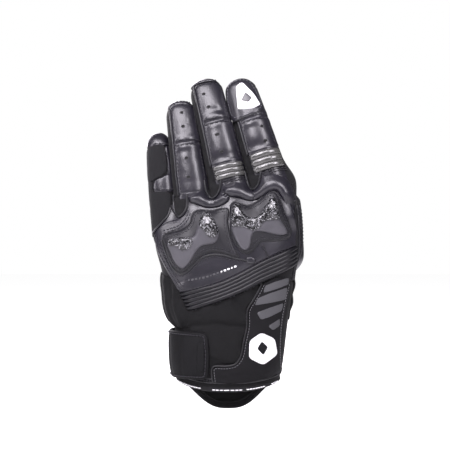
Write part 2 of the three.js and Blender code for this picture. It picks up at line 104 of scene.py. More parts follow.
def smooth(t):
    t = np.clip(t, 0, 1)
    return t * t * (3 - 2 * t)


def unit(v):
    return v / np.maximum(np.linalg.norm(v, axis=-1, keepdims=True), 1e-9)


def floats(*values):
    return np.broadcast_arrays(*(np.asarray(v, float) for v in values))


def section(z):
    """Centre x, centre y, half width and half depth of the hand's oval at each height."""
    x = SECTIONS[:, 0]
    out = []
    for k in range(1, 5):
        y = SECTIONS[:, k]
        m = np.gradient(y, x)
        i = np.clip(np.searchsorted(x, z) - 1, 0, len(x) - 2)
        span = x[i + 1] - x[i]
        t = np.clip((z - x[i]) / span, 0, 1)
        out.append((2 * t**3 - 3 * t**2 + 1) * y[i] + (t**3 - 2 * t**2 + t) * span * m[i]
                   + (3 * t**2 - 2 * t**3) * y[i + 1] + (t**3 - t**2) * span * m[i + 1])
    left, right, back, palm = out
    return (left + right) / 2, (back + palm) / 2, (right - left) / 2, (palm - back) / 2


def oval(angle, width, depth, power):
    s, c = np.sin(np.radians(angle)), np.cos(np.radians(angle))
    p = 2 / power
    return width * np.sign(s) * np.abs(s) ** p, -depth * np.sign(c) * np.abs(c) ** p


def cuff_point(angle, z, h):
    """The cuff and hand's surface at an angle round it (0 back, 90 thumb side, 180 palm), h outwards."""
    cx, cy, w, d = section(z)
    x, y = oval(angle, w + h, d + h, HAND_POWER)
    return np.stack([cx + x, cy + y, z + 0 * x], -1)


class Tube:
    """A finger's or the thumb's surface, at angles round its middle line and lengths along it, h outwards."""

    def at(self, s):
        return tuple(np.stack([np.interp(s, self.s, rows[:, k]) for k in range(3)], -1)
                     for rows in (self.points, self.way))

    def surface(self, angle, s, h):
        angle, s, h = floats(angle, s, h)
        s = s + h * np.clip((s - self.length + DOME) / DOME, 0, 1)
        point, way = self.at(s)
        across, depth = self.directions(way)
        share = dome_share(s, self.length + h)
        x, y = oval(angle, (self.width(s) + h) * share, (self.depth + h) * share, FINGER_POWER)
        return point + across * x[..., None] + depth * y[..., None]


class Finger(Tube):
    """A finger leans sideways and curls forward. Angle 0 is its back, 90 its thumb side, 180 its palm side."""

    step = 0.5
    start = -24.0

    def __init__(self, knuckle, lean, length, widths, depth):
        self.length, self.depth = length, depth
        self.widths = widths
        self.lean = math.radians(lean)
        self.across = np.array([math.cos(self.lean), 0, math.sin(self.lean)])
        s = np.arange(self.start, length + 12, self.step)
        tilt = np.radians(TILT[0] + TILT[1] * np.clip(s / length, 0, 1.2) ** 2)
        sideways, upwards = -math.sin(self.lean), math.cos(self.lean)
        way = np.stack([sideways * np.cos(tilt), np.sin(tilt), upwards * np.cos(tilt)], -1)
        points = np.cumsum(way, 0) * self.step
        zero = int(round(-self.start / self.step))
        self.s, self.way = s, way
        self.points = points - points[zero] + np.array(knuckle, float)

    def width(self, s):
        return np.interp(s, np.array((0, 0.35, 0.62, 0.9)) * self.length, self.widths)

    def directions(self, way):
        return self.across, unit(np.cross(way, self.across))


def dome_share(s, length):
    """The share of a tube's width that is left at s, where its tip closes in a dome."""
    t = np.clip((s - (length - DOME)) / DOME, 0, 1)
    return np.maximum(1 - t**2.3, 0) ** (1 / 2.3)


def dome_lengths(end, count=10):
    """Lengths along a tip's dome, closer together towards its end."""
    return end - DOME * (1 - np.sin(np.linspace(0, np.pi / 2, count)))


class Thumb(Tube):
    """The thumb's middle line is a smooth curve; angle 0 is its own back, which faces the thumb side."""

    def __init__(self, line, widths, depth):
        corners = np.array(line, float)
        ends = np.vstack([2 * corners[0] - corners[1], corners, 2 * corners[-1] - corners[-2]])
        rows = []
        for i in range(len(corners) - 1):
            p0, p1, p2, p3 = ends[i:i + 4]
            t = np.linspace(0, 1, 40, endpoint=False)[:, None]
            rows.append(0.5 * (2 * p1 + (p2 - p0) * t + (2 * p0 - 5 * p1 + 4 * p2 - p3) * t**2
                               + (3 * p1 - p0 - 3 * p2 + p3) * t**3))
        line = np.vstack(rows + [corners[-1:]])
        line = np.vstack([line, line[-1] + (line[-1] - line[-2]) / np.linalg.norm(line[-1] - line[-2]) * 10])
        self.s = np.concatenate([[0], np.cumsum(np.linalg.norm(np.diff(line, axis=0), axis=1))])
        self.length = self.s[-2]
        self.points, self.widths, self.depth = line, widths, depth
        self.way = np.gradient(line, self.s, axis=0)
        self.side = np.array([0, 1, THUMB_SIDE]) / math.hypot(1, THUMB_SIDE)

    def at(self, s):
        point, way = super().at(s)
        return point, unit(way)

    def width(self, s):
        return np.interp(s, (0, self.length), self.widths)

    def directions(self, way):
        depth = unit(np.cross(self.side, way))
        return np.cross(way, depth), -depth


fingers = {name: Finger(**size) for name, size in FINGERS.items()}
thumb = Thumb(**THUMB)

# ---------------------------------------------------------------- charts, from flat millimetres to the form

ROUND = 12.0  # a finger's radius, which turns its angles into millimetres
CUFF_MM = 0.82  # millimetres for each degree round the cuff


def finger_chart(finger):
    return lambda u, v, h: finger.surface(np.degrees(u / ROUND), v, h)


def cuff_chart(u, v, h):
    return cuff_point(u / CUFF_MM, v, h)


def knuckle_line(x):
    """Height of the knuckles' row at each x."""
    return np.interp(x, (-57, -47, -25, 7.5, 40.5, 55), (106, 112, 123, 131, 135, 134))


def back_y(x, z, sharp=0.42):
    """The back of the hand as a height field: a smooth union of the hand's oval and the fingers' roots."""
    cx, cy, w, d = section(np.clip(z, -20, 150))
    t = np.clip(np.abs((x - cx) / w), 0, 0.9995)
    hand = -(cy - d * (1 - t**HAND_POWER) ** (1 / HAND_POWER))
    hand = hand - 0.022 * np.clip(z - knuckle_line(x) - 2, 0, None) ** 2
    total = np.exp(sharp * hand)
    for f in fingers.values():
        k = f.points[int(round(-f.start / f.step))]
        along = -(x - k[0]) * math.sin(f.lean) + (z - k[2]) * math.cos(f.lean)
        aside = (x - k[0]) * math.cos(f.lean) + (z - k[2]) * math.sin(f.lean)
        point, _ = f.at(along)
        t = np.clip(np.abs(aside / f.width(along)), 0, 1)
        y = -(point[..., 1] - f.depth * (1 - t**FINGER_POWER) ** (1 / FINGER_POWER))
        y = y - 1.2 * np.clip(np.abs(aside) - f.width(along), 0, None)
        y = y - 0.05 * np.clip(-along - 4, 0, None) ** 2
        total = total + np.exp(sharp * y)
    return -np.log(total) / sharp


def normals_of(chart, u, v, h, e=0.4):
    du = chart(u + e, v, h) - chart(u - e, v, h)
    dv = chart(u, v + e, h) - chart(u, v - e, h)
    return unit(np.cross(du, dv))


def back_chart(u, v, h):
    """x and height on the back of the hand."""
    def flat(a, b, _):
        return np.stack([a, back_y(a, b), b], -1)

    base = flat(u, v, 0)
    return base + normals_of(flat, u, v, 0) * np.asarray(h)[..., None]


def guard_chart(u, v, h):
    """The same, with the valleys between the knuckles evened out, for the stiff pieces that bridge them."""
    def flat(a, b, _):
        return np.stack([a, back_y(a, b, 0.32), b], -1)

    n = unit(0.6 * normals_of(flat, u, v, 0, 3.5) + np.array((0, -0.4, 0)))
    return flat(u, v, 0) + n * np.asarray(h)[..., None]


# ---------------------------------------------------------------- meshes

def link(name, verts, faces, smooth_faces=True):
    mesh = bpy.data.meshes.new(name)
    mesh.from_pydata((np.asarray(verts) * MM).tolist(), [], faces)
    mesh.update()
    if smooth_faces:
        mesh.polygons.foreach_set("use_smooth", [True] * len(mesh.polygons))
    obj = bpy.data.objects.new(name, mesh)
    bpy.context.scene.collection.objects.link(obj)
    return obj


def outward(obj, weld=0):
    """Turn the faces outwards, after joining points that are closer than weld."""
    bm = bmesh.new()
    bm.from_mesh(obj.data)
    if weld:
        bmesh.ops.remove_doubles(bm, verts=bm.verts, dist=weld)
    bmesh.ops.recalc_face_normals(bm, faces=bm.faces)
    bm.to_mesh(obj.data)
    bm.free()


def solid(name, verts, faces, material, weld=0):
    """A closed mesh of one material."""
    obj = link(name, verts, faces)
    outward(obj, weld)
    obj.data.materials.append(material)
    return obj


def ring_faces(rings, sides, closed=False, first=0):
    """The faces of a tube of rings of points, with a flat face at each end where it is open."""
    faces = []
    for i in range(rings if closed else rings - 1):
        a, b = first + i * sides, first + (i + 1) % rings * sides
        faces += [(a + k, a + (k + 1) % sides, b + (k + 1) % sides, b + k) for k in range(sides)]
    if not closed:
        last = first + (rings - 1) * sides
        faces += [tuple(range(first, first + sides))[::-1], tuple(range(last, last + sides))]
    return faces


def resample(points, spacing, closed=True):
    """Points at an even spacing along a polyline."""
    p = np.asarray(points, float)
    if closed:
        p = np.vstack([p, p[:1]])
    length = np.concatenate([[0], np.cumsum(np.linalg.norm(np.diff(p, axis=0), axis=1))])
    count = max(int(round(length[-1] / spacing)), 3)
    at = np.linspace(0, length[-1], count + 1)
    out = np.stack([np.interp(at, length, p[:, k]) for k in range(p.shape[1])], -1)
    return out[:-1] if closed else out


def curve_through(points, closed=True, steps=8):
    """A smooth curve through a few corner points."""
    p = np.asarray(points, float)
    n = len(p)
    out = []
    for i in range(n if closed else n - 1):
        if closed:
            p0, p1, p2, p3 = (p[(i + k) % n] for k in (-1, 0, 1, 2))
        else:
            p1, p2 = p[i], p[i + 1]
            p0 = p[i - 1] if i else 2 * p1 - p2
            p3 = p[i + 2] if i + 2 < n else 2 * p2 - p1
        a, b, c = (max(np.linalg.norm(q - r) ** 0.5, 1e-6) for q, r in ((p1, p0), (p2, p1), (p3, p2)))
        t = np.linspace(0, 1, steps, endpoint=False)[:, None]
        m1 = (p2 - p1) - b * ((p2 - p0) / (a + b) - (p1 - p0) / a) if a > 1e-5 else p2 - p1
        m2 = (p2 - p1) + b * ((p3 - p2) / c - (p3 - p1) / (b + c)) if c > 1e-5 else p2 - p1
        out.append((2 * t**3 - 3 * t**2 + 1) * p1 + (t**3 - 2 * t**2 + t) * m1
                   + (3 * t**2 - 2 * t**3) * p2 + (t**3 - t**2) * m2)
    if not closed:
        out.append(p[-1:])
    return np.vstack(out)


def rounded(points, radius, steps=5):
    """A polygon with its corners rounded."""
    p = np.asarray(points, float)
    out = []
    for i in range(len(p)):
        a, b, c = p[i - 1], p[i], p[(i + 1) % len(p)]
        r = min(radius, 0.45 * np.linalg.norm(a - b), 0.45 * np.linalg.norm(c - b))
        s = b + (a - b) / np.linalg.norm(a - b) * r
        e = b + (c - b) / np.linalg.norm(c - b) * r
        t = np.linspace(0, 1, steps)[:, None]
        out.append((1 - t) ** 2 * s + 2 * t * (1 - t) * b + t**2 * e)
    return np.vstack(out)


def distance_to(points, line, closed=True):
    """Distance from each point to a polyline, all in the chart's millimetres."""
    a = np.asarray(line, float)
    b = np.roll(a, -1, 0) if closed else a[1:]
    a = a if closed else a[:-1]
    best = np.full(len(points), 1e9)
    for start in range(0, len(points), 4000):
        p = points[start:start + 4000, None, :]
        ab = (b - a)[None]
        t = np.clip(((p - a) * ab).sum(-1) / np.maximum((ab * ab).sum(-1), 1e-12), 0, 1)
        d = np.linalg.norm(p - (a + ab * t[..., None]), axis=-1)
        best[start:start + 4000] = d.min(1)
    return best


def inside(points, outline):
    x, y = points[:, 0], points[:, 1]
    hit = np.zeros(len(points), bool)
    j = len(outline) - 1
    for i in range(len(outline)):
        (xi, yi), (xj, yj) = outline[i], outline[j]
        if yi != yj:
            hit ^= ((yi > y) != (yj > y)) & (x < (xj - xi) * (y - yi) / (yj - yi) + xi)
        j = i
    return hit


def anticlockwise(p):
    area = np.sum(p[:, 0] * np.roll(p[:, 1], -1) - np.roll(p[:, 0], -1) * p[:, 1])
    return p[::-1] if area < 0 else p


def left_of(path, closed=False):
    """The direction to the left of a flat path, at each of its points."""
    way = unit(np.roll(path, -1, 0) - np.roll(path, 1, 0) if closed else np.gradient(path, axis=0))
    return np.stack([-way[:, 1], way[:, 0]], -1)


def moved_in(edge, distance, nearest):
    """An anticlockwise outline moved inwards, without the points that would cross."""
    ring = edge + left_of(edge, True) * distance
    return ring[inside(ring, edge) & (distance_to(ring, edge) > nearest * distance)]


def flat_mesh(outline, spacing, rings):
    """Points and triangles that fill an outline, finer near its edge."""
    edge = anticlockwise(resample(outline, spacing))
    extra = [moved_in(edge, r, 0.92) for r in rings]
    low, high = edge.min(0), edge.max(0)
    rows = np.arange(low[1], high[1], spacing * 0.87)
    grid = []
    for i, y in enumerate(rows):
        xs = np.arange(low[0] + (i % 2) * spacing / 2, high[0], spacing)
        grid.append(np.stack([xs, np.full(len(xs), y)], -1))
    grid = np.vstack(grid)
    reach = rings[-1] + 0.6 * spacing
    grid = grid[inside(grid, edge)]
    grid = grid[distance_to(grid, edge) > reach]
    points = np.vstack([edge] + extra + [grid])
    loop = list(range(len(edge)))
    constraints = [(i, (i + 1) % len(edge)) for i in loop]
    out = geometry.delaunay_2d_cdt([Vector(p) for p in points.tolist()], constraints, [loop], 1, 1e-5, True)
    verts, faces, origin = np.array([tuple(v) for v in out[0]]), out[2], out[3]
    order = np.full(len(verts), -1)
    for i, came in enumerate(origin):
        order[i] = came[0] if came else -1
    place = {o: i for i, o in enumerate(order) if o >= 0}
    rim = [place[i] for i in loop if i in place]
    tris = []
    within = inside(np.array([verts[list(f)].mean(0) for f in faces]), edge)
    for f, keep in zip(faces, within):
        if not keep:
            continue
        a, b, c = (verts[i] for i in f[:3])
        if (b[0] - a[0]) * (c[1] - a[1]) - (b[1] - a[1]) * (c[0] - a[0]) < 0:
            f = f[::-1]
        tris.append(tuple(f))
    return verts, tris, rim, edge


def edge_rise(t, lip=0.35):
    """How high a panel with a round edge is at t, which is 0 at its edge and 1 where it is full."""
    return lip + (1 - lip) * np.sqrt(1 - (1 - t) ** 2)


def patch(name, chart, outline, material, height=1.0, edge=1.0, base=0.0, spacing=1.5, bulge=0.0, reach=8.0,
          relief=None, sunk=0.6, lip=0.35):
    """A closed panel on the form: round edges, a soft crown, and its underside sunk in what lies below."""
    verts, tris, rim, line = flat_mesh(outline, spacing, [0.12 * edge, 0.35 * edge, 0.7 * edge, edge])
    d = distance_to(verts, line)
    h = base + height * edge_rise(np.clip(d / edge, 0, 1), lip) + bulge * (1 - np.exp(-((d / reach) ** 2)))
    if relief is not None:
        h = h + relief(verts[:, 0], verts[:, 1], d)
    top = chart(verts[:, 0], verts[:, 1], h)
    under = chart(verts[:, 0], verts[:, 1], np.full(len(verts), base - sunk))
    n = len(verts)
    faces = list(tris) + [tuple(n + i for i in f[::-1]) for f in tris]
    faces += [(a, n + a, n + b, b) for a, b in zip(rim, rim[1:] + rim[:1])]
    return solid(name, np.vstack([top, under]), faces, material)


SIM_SCALE = 10.0  # the cloth is simulated this much larger, where its small folds are steady
SIM_FRAMES = 20
CLOTH = dict(quality=8, mass=0.15, tension_stiffness=12, compression_stiffness=12, shear_stiffness=4,
             bending_stiffness=0.8, use_pressure=True, uniform_pressure_force=1.5)


def billow(obj, slack, cap):
    """Let a panel's top settle as slack cloth, sewn down all round its edge: Cloth, applied and then removed.
    slack is the share of extra cloth, and cap is the furthest that a point may move, in millimetres."""
    mesh = obj.data
    half = len(mesh.vertices) // 2
    rest = np.empty(len(mesh.vertices) * 3)
    mesh.vertices.foreach_get("co", rest)
    rest = rest.reshape(-1, 3)
    sides = {v for p in mesh.polygons if {v < half for v in p.vertices} == {True, False} for v in p.vertices}
    sewn = [v for v in range(len(rest)) if v >= half or v in sides]
    mesh.vertices.foreach_set("co", (rest * SIM_SCALE).ravel())
    group = obj.vertex_groups.new(name="sewn")
    group.add(sewn, 1.0, "REPLACE")
    cloth = obj.modifiers.new("cloth", "CLOTH")
    for key, value in CLOTH.items():
        setattr(cloth.settings, key, value)
    cloth.settings.effector_weights.gravity = 0
    cloth.settings.vertex_group_mass = "sewn"
    cloth.settings.shrink_min = -slack
    cloth.collision_settings.use_collision = False
    scene = bpy.context.scene
    for moment in range(1, SIM_FRAMES + 1):
        scene.frame_set(moment)
    moved = np.empty(len(rest) * 3)
    settled = obj.evaluated_get(bpy.context.evaluated_depsgraph_get()).to_mesh()
    settled.vertices.foreach_get("co", moved)
    obj.modifiers.remove(cloth)
    obj.vertex_groups.remove(group)
    scene.frame_set(1)
    step = moved.reshape(-1, 3) / SIM_SCALE - rest
    size = np.linalg.norm(step, axis=1, keepdims=True)
    step *= np.tanh(size / (cap * MM)) * cap * MM / np.maximum(size, 1e-9)
    mesh.vertices.foreach_set("co", (rest + step).ravel())
    mesh.update()


def grid_tube(name, point, angles, lengths, material, closed=True, thickness=0):
    """A tube or shell over a grid of angles and lengths; point(angle, length, height) places it."""
    a, s = np.meshgrid(angles, lengths, indexing="ij")
    layers = [0.0] if thickness == 0 else [0.0, -thickness]
    verts, faces = [], []
    m, n = a.shape
    for k, h in enumerate(layers):
        verts.append(point(a.ravel(), s.ravel(), np.full(a.size, h)))
        o = k * m * n
        for i in range(m if closed else m - 1):
            j = (i + 1) % m
            for r in range(n - 1):
                q = (o + i * n + r, o + j * n + r, o + j * n + r + 1, o + i * n + r + 1)
                faces.append(q if k == 0 else q[::-1])
    if thickness:
        o = m * n
        for i in range(m if closed else m - 1):
            j = (i + 1) % m
            faces.append((i * n, o + i * n, o + j * n, j * n))
            faces.append((i * n + n - 1, j * n + n - 1, o + j * n + n - 1, o + i * n + n - 1))
        if not closed:
            for r in range(n - 1):
                e = (m - 1) * n
                faces.append((r, r + 1, o + r + 1, o + r))
                faces.append((e + r, o + e + r, o + e + r + 1, e + r + 1))
    return solid(name, np.vstack(verts), faces, material, weld=0.02 * MM)


def on_chart(chart, path, h):
    p = np.asarray(path, float)
    return chart(p[:, 0], p[:, 1], np.broadcast_to(np.asarray(h, float), (len(p),)))


def ring_directions(p, sides, closed):
    """The way along a line of points, and directions round it at each point."""
    way = unit(np.roll(p, -1, 0) - np.roll(p, 1, 0) if closed else np.gradient(p, axis=0))
    side = np.cross(way, np.array([0.0, -1.0, 0.0]))
    weak = np.linalg.norm(side, axis=1) < 0.2
    side[weak] = np.cross(way[weak], np.array([1.0, 0, 0]))
    side = unit(side)
    up = np.cross(side, way)
    turn = np.linspace(0, 2 * np.pi, sides, endpoint=False)
    return way, side[:, None] * np.cos(turn)[None, :, None] + up[:, None] * np.sin(turn)[None, :, None]


def tubes(name, lines, radius, material, sides=8, closed=False):
    """Round cords along lines of points, as one piece, with blunt ends where they are open."""
    verts, faces = [], []
    total = 0
    for line in lines:
        line = np.asarray(line, float)
        way, ring = ring_directions(line, sides, closed)
        rings = line[:, None] + ring * radius
        if not closed:
            first = line[0] - way[0] * radius * 0.6 + ring[0] * radius * 0.6
            last = line[-1] + way[-1] * radius * 0.6 + ring[-1] * radius * 0.6
            rings = np.concatenate([first[None], rings, last[None]], 0)
        verts.append(rings.reshape(-1, 3))
        faces += ring_faces(len(rings), sides, closed, total)
        total += len(rings) * sides
    return solid(name, np.vstack(verts), faces, material)


FINE_STITCH = (1.6, 1.2, 0.26)  # length, gap and radius of the palm side's stitches
SMALL_STITCH = (1.2, 0.9, 0.2)  # and of the printed panel's


def stitches(name, chart, paths, material, h, length=1.9, gap=0.9, radius=0.32):
    """Rows of thread along paths on a chart: each stitch is a short cord, bowed over the surface."""
    lines = []
    for path in paths:
        p = resample(path, 0.35, closed=False)
        run = np.concatenate([[0], np.cumsum(np.linalg.norm(np.diff(p, axis=0), axis=1))])
        at = 0.3
        while at + length < run[-1]:
            t = np.linspace(at, at + length, 5)
            q = np.stack([np.interp(t, run, p[:, k]) for k in range(2)], -1)
            rise = h + np.array([-0.25, 0.1, 0.16, 0.1, -0.25])
            lines.append(on_chart(chart, q, rise))
            at += length + gap
    return tubes(name, lines, radius, material, sides=6)


def offset_path(path, distance):
    p = np.asarray(path, float)
    return p + left_of(p) * distance


def piping(name, chart, line, h, radius):
    """A round cord along an open line on a chart."""
    return tubes(name, [on_chart(chart, resample(line, 0.8, False), h)], radius, M["piping"])


def join(name, pieces):
    """One piece of several meshes, each keeping its material."""
    bpy.ops.object.select_all(action="DESELECT")
    for p in pieces:
        p.select_set(True)
    bpy.context.view_layer.objects.active = pieces[0]
    bpy.ops.object.join()
    pieces[0].name = name
    return pieces[0]


# ---------------------------------------------------------------- materials

class Nodes:
    """A short way to write a material's nodes."""

    def __init__(self, name):
        self.material = bpy.data.materials.new(name)
        self.material.use_nodes = True
        self.tree = self.material.node_tree
        self.shader = self.tree.nodes["Principled BSDF"]
        self.place = self.add("ShaderNodeTexCoord").outputs["Object"]

    def add(self, kind, inputs=None, **settings):
        node = self.tree.nodes.new(kind)
        for key, value in settings.items():
            setattr(node, key, value)
        for key, value in (inputs or {}).items():
            self.put(node.inputs[key], value)
        return node

    def put(self, socket, value):
        if isinstance(value, bpy.types.NodeSocket):
            self.tree.links.new(value, socket)
        else:
            socket.default_value = value

    def noise(self, scale, detail, rough=0.55, distortion=0.0):
        inputs = {"Vector": self.place, "Scale": scale, "Detail": detail, "Roughness": rough,
                  "Distortion": distortion}
        return self.add("ShaderNodeTexNoise", inputs).outputs["Fac"]

    def cells(self, scale, feature="F1", output="Distance", place=None):
        return self.add("ShaderNodeTexVoronoi", {"Vector": place or self.place, "Scale": scale},
                        feature=feature).outputs[output]

    def turned(self, angle):
        """Places turned about the glove's back-to-palm axis."""
        inputs = {"Vector": self.place, "Rotation": (0, angle, 0)}
        return self.add("ShaderNodeMapping", inputs).outputs["Vector"]

    def math(self, op, a, b=0.0):
        return self.add("ShaderNodeMath", {0: a, 1: b}, operation=op).outputs[0]

    def ramp(self, fac, low, high, from_min=0.0, from_max=1.0):
        return self.add("ShaderNodeMapRange", {"Value": fac, "From Min": from_min, "From Max": from_max,
                                               "To Min": low, "To Max": high}).outputs["Result"]

    def mix(self, fac, a, b):
        node = self.add("ShaderNodeMix", data_type="RGBA")
        self.put(node.inputs["Factor"], fac)
        for k, value in ((6, a), (7, b)):
            self.put(node.inputs[k], value if isinstance(value, bpy.types.NodeSocket) else (*value, 1))
        return node.outputs[2]

    def bump(self, height, distance, normal=None):
        inputs = {"Height": height, "Distance": distance, "Strength": 1.0}
        if normal is not None:
            inputs["Normal"] = normal
        return self.add("ShaderNodeBump", inputs).outputs["Normal"]

    def finish(self, colour, rough, normal, **constants):
        self.put(self.shader.inputs["Base Color"], colour if isinstance(colour, bpy.types.NodeSocket)
                 else (*colour, 1))
        self.put(self.shader.inputs["Roughness"], rough)
        self.put(self.shader.inputs["Normal"], normal)
        for key, value in constants.items():
            self.shader.inputs[key.replace("_", " ")].default_value = value
        return self.material


def leather(name, dark, light, rough, grain=0.045, creases=0.13, coat=0.0, gloss=0.5):
    """Grained leather: soft creases and small dark pores; grain and creases are heights in millimetres."""
    n = Nodes(name)
    broad = n.noise(60, 3)
    warp = n.noise(90, 5, 0.6, 1.2)
    pores = n.cells(1050)
    fine = n.noise(2600, 2)
    colour = n.mix(n.ramp(broad, 0, 1, 0.3, 0.7), dark, light)
    colour = n.mix(n.ramp(pores, 0.35, 0.0, 0.0, 0.35), colour, tuple(0.35 * c for c in dark))
    normal = n.bump(warp, creases * MM)
    normal = n.bump(pores, grain * MM, normal)
    normal = n.bump(fine, 0.015 * MM, normal)
    return n.finish(colour, n.ramp(broad, *rough), normal, Coat_Weight=coat, Coat_Roughness=0.25,
                    Specular_IOR_Level=gloss)


def weave(name, dark, light, pitch, height, rough=0.85, sheen=0.25, turn=0.0, gloss=0.3):
    """A woven or knitted cloth: crossed threads with some fuzz; pitch and height are in millimetres."""
    n = Nodes(name)
    place = n.turned(turn)
    scale = 1 / (pitch * MM) / 2
    inputs = {"Vector": place, "Scale": scale, "Distortion": 0.5, "Detail": 1}
    warp, weft = (n.add("ShaderNodeTexWave", inputs, bands_direction=way).outputs["Fac"] for way in "XZ")
    cloth = n.math("MULTIPLY", warp, weft)
    fuzz = n.noise(1900, 3, 0.7)
    broad = n.noise(70, 4)
    colour = n.mix(n.ramp(cloth, 0, 1), dark, light)
    colour = n.mix(n.ramp(broad, 0, 0.5), colour, tuple(0.6 * c for c in dark))
    normal = n.bump(broad, 0.5 * MM)
    normal = n.bump(cloth, height * MM, normal)
    normal = n.bump(fuzz, 0.05 * MM, normal)
    return n.finish(colour, n.ramp(fuzz, rough - 0.1, rough + 0.1), normal, Sheen_Weight=0.3 * sheen,
                    Sheen_Roughness=0.5, Specular_IOR_Level=gloss)


def moulded(name, colour, rough, grain=0.05, size=1500):
    """A smooth moulded or twisted stuff with a fine grain, whose height is in millimetres."""
    n = Nodes(name)
    fine = n.noise(size, 3, 0.6)
    broad = n.noise(90, 3)
    shade = n.mix(n.ramp(broad, 0, 1, 0.3, 0.7), colour, tuple(1.25 * c for c in colour))
    normal = n.bump(fine, grain * MM)
    return n.finish(shade, n.ramp(broad, *rough), normal)


def forged_carbon():
    """Chips of carbon fibre at all angles under lacquer."""
    n = Nodes("carbon_chips")
    warp = n.noise(260, 2, 0.5)
    shift = n.add("ShaderNodeCombineXYZ", {0: n.math("MULTIPLY", warp, 0.004),
                                           2: n.math("MULTIPLY", warp, -0.003)}).outputs[0]
    place = n.add("ShaderNodeVectorMath", {0: n.place, 1: shift}, operation="ADD").outputs[0]
    chips = n.cells(1000, output="Color", place=place)
    small = n.cells(1700, output="Color", place=place)
    big = n.add("ShaderNodeSeparateColor", {0: chips}).outputs[0]
    little = n.add("ShaderNodeSeparateColor", {0: small}).outputs[1]
    both = n.math("MULTIPLY", big, little)
    bright = n.ramp(both, 0, 1, 0.3, 0.62)
    colour = n.mix(bright, (0.006, 0.006, 0.007), (0.34, 0.34, 0.36))
    edges = n.cells(1000, "DISTANCE_TO_EDGE", place=place)
    normal = n.bump(edges, 0.12 * MM)
    return n.finish(colour, n.ramp(big, 0.18, 0.45), normal, Metallic=0.25, Coat_Weight=0.9,
                    Coat_Roughness=0.08)


M = {
    "back": leather("back_leather", (0.010, 0.0092, 0.014), (0.018, 0.0165, 0.0235), (0.27, 0.40), coat=0.45),
    "rib": leather("rib_leather", (0.005, 0.0048, 0.0066), (0.009, 0.0086, 0.011), (0.32, 0.44), 0.06, 0.15,
                   coat=0.1, gloss=0.3),
    "rib_pale": leather("finger_rib_leather", (0.044, 0.044, 0.042), (0.072, 0.071, 0.067), (0.2, 0.28), 0.05,
                        0.1, coat=1.0, gloss=0.8),
    # palm leather: its own rougher leather, made lighter than the back's partly as painted light for the dimly
    # lit palm side
    "palm": leather("palm_leather", (0.013, 0.0125, 0.014), (0.024, 0.0225, 0.026), (0.45, 0.6), 0.12, 0.5),
    "strap": leather("strap_leather", (0.0015, 0.0015, 0.002), (0.0035, 0.0035, 0.0045), (0.6, 0.72), 0.08,
                     0.3, gloss=0.22),
    "knit": weave("gusset_fabric", (0.003, 0.003, 0.0035), (0.010, 0.0095, 0.012), 1.4, 0.2),
    "stretch": weave("stretch_fabric", (0.006, 0.006, 0.007), (0.018, 0.0172, 0.0205), 1.0, 0.14, turn=0.5),
    "neoprene": weave("neoprene", (0.003, 0.003, 0.0035), (0.007, 0.007, 0.008), 0.8, 0.08, 0.9, 0.15),
    "print": weave("printed_panel", (0.0025, 0.0023, 0.0033), (0.0065, 0.006, 0.008), 0.8, 0.06, 0.6, 0.1,
                   gloss=0.2),
    "stripe": weave("printed_stripe", (0.07, 0.07, 0.076), (0.11, 0.11, 0.118), 0.8, 0.05, 0.5, 0.1),
    "lining": weave("lining_fabric", (0.004, 0.0038, 0.0045), (0.0095, 0.009, 0.0105), 1.2, 0.15, 0.9, 0.1),
    "rubber": moulded("guard_rubber", (0.008, 0.0076, 0.0105), (0.38, 0.5)),
    "grey": moulded("insert_grey", (0.065, 0.063, 0.072), (0.38, 0.5), 0.03),
    "carbon": forged_carbon(),
    "plastic": moulded("moulded_plastic", (0.02, 0.02, 0.022), (0.35, 0.5), 0.06),
    "film": moulded("reflective_film", (0.80, 0.80, 0.81), (0.35, 0.5), 0.02),
    "tape": weave("binding_tape", (0.004, 0.004, 0.005), (0.012, 0.012, 0.014), 0.9, 0.16, 0.75, 0.2),
    "pile": weave("hook_and_loop", (0.008, 0.008, 0.009), (0.03, 0.03, 0.032), 1.5, 0.5, 0.95, 0.4),
    "thread": moulded("black_thread", (0.016, 0.015, 0.02), (0.45, 0.6), 0.08, 3000),
    "pale_thread": moulded("pale_thread", (0.14, 0.14, 0.15), (0.5, 0.65), 0.08, 3000),
    "piping": moulded("piping", (0.012, 0.012, 0.014), (0.3, 0.42), 0.04),
    # painted shade: the near-black of a punched hole, laid on a disc at the leather's surface
    "hole": moulded("perforation_shade", (0.003, 0.003, 0.003), (0.8, 0.9), 0.02),
}

# ---------------------------------------------------------------- each piece's CAD nodes and place

SLOTS = {"back": "back_leather", "rib": "rib_leather", "rib_pale": "rib_leather", "palm": "palm_leather",
         "strap": "strap_leather", "knit": "gusset_fabric", "stretch": "stretch_fabric",
         "neoprene": "neoprene", "print": "printed_panel", "stripe": "printed_panel",
         "lining": "lining_fabric", "rubber": "guard_rubber", "grey": "carbon_insert",
         "carbon": "carbon_insert",
         "plastic": "moulded_plastic", "film": "reflective_patch", "tape": "binding_tape",
         "pile": "hook_and_loop", "thread": "back_leather", "pale_thread": "binding_tape",
         "piping": "back_leather", "hole": "back_leather"}


def paint(obj, *nodes, slot=None):
    """Hide the CAD nodes that a piece stands for; its record slot, from its first material, is looked up but
    not kept.
    """
    key = next(k for k, m in M.items() if m == obj.data.materials[0])
    slot or SLOTS[key]
    if nodes:
        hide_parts(*nodes)


def on_wrist(obj, *nodes, slot=None):
    """For all the pieces of the cuff and the hand: hides their CAD nodes and bakes their transforms."""
    paint(obj, *nodes, slot=slot)
    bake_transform(obj)


ROOT_BEND = (-14.0, 24.0)  # lengths up a finger that on_root looks up for a root's bend, which is not made
JOINT_BEND = 13  # reach each side of a finger's middle joint that on_finger looks up; no bend is made
SPLIT = 27.0  # each finger's pieces part here, between its two joints


def place_on(line, s):
    """A point of a finger's or the thumb's middle line, in metres."""
    return tuple(line.at(np.array(float(s)))[0] * MM)


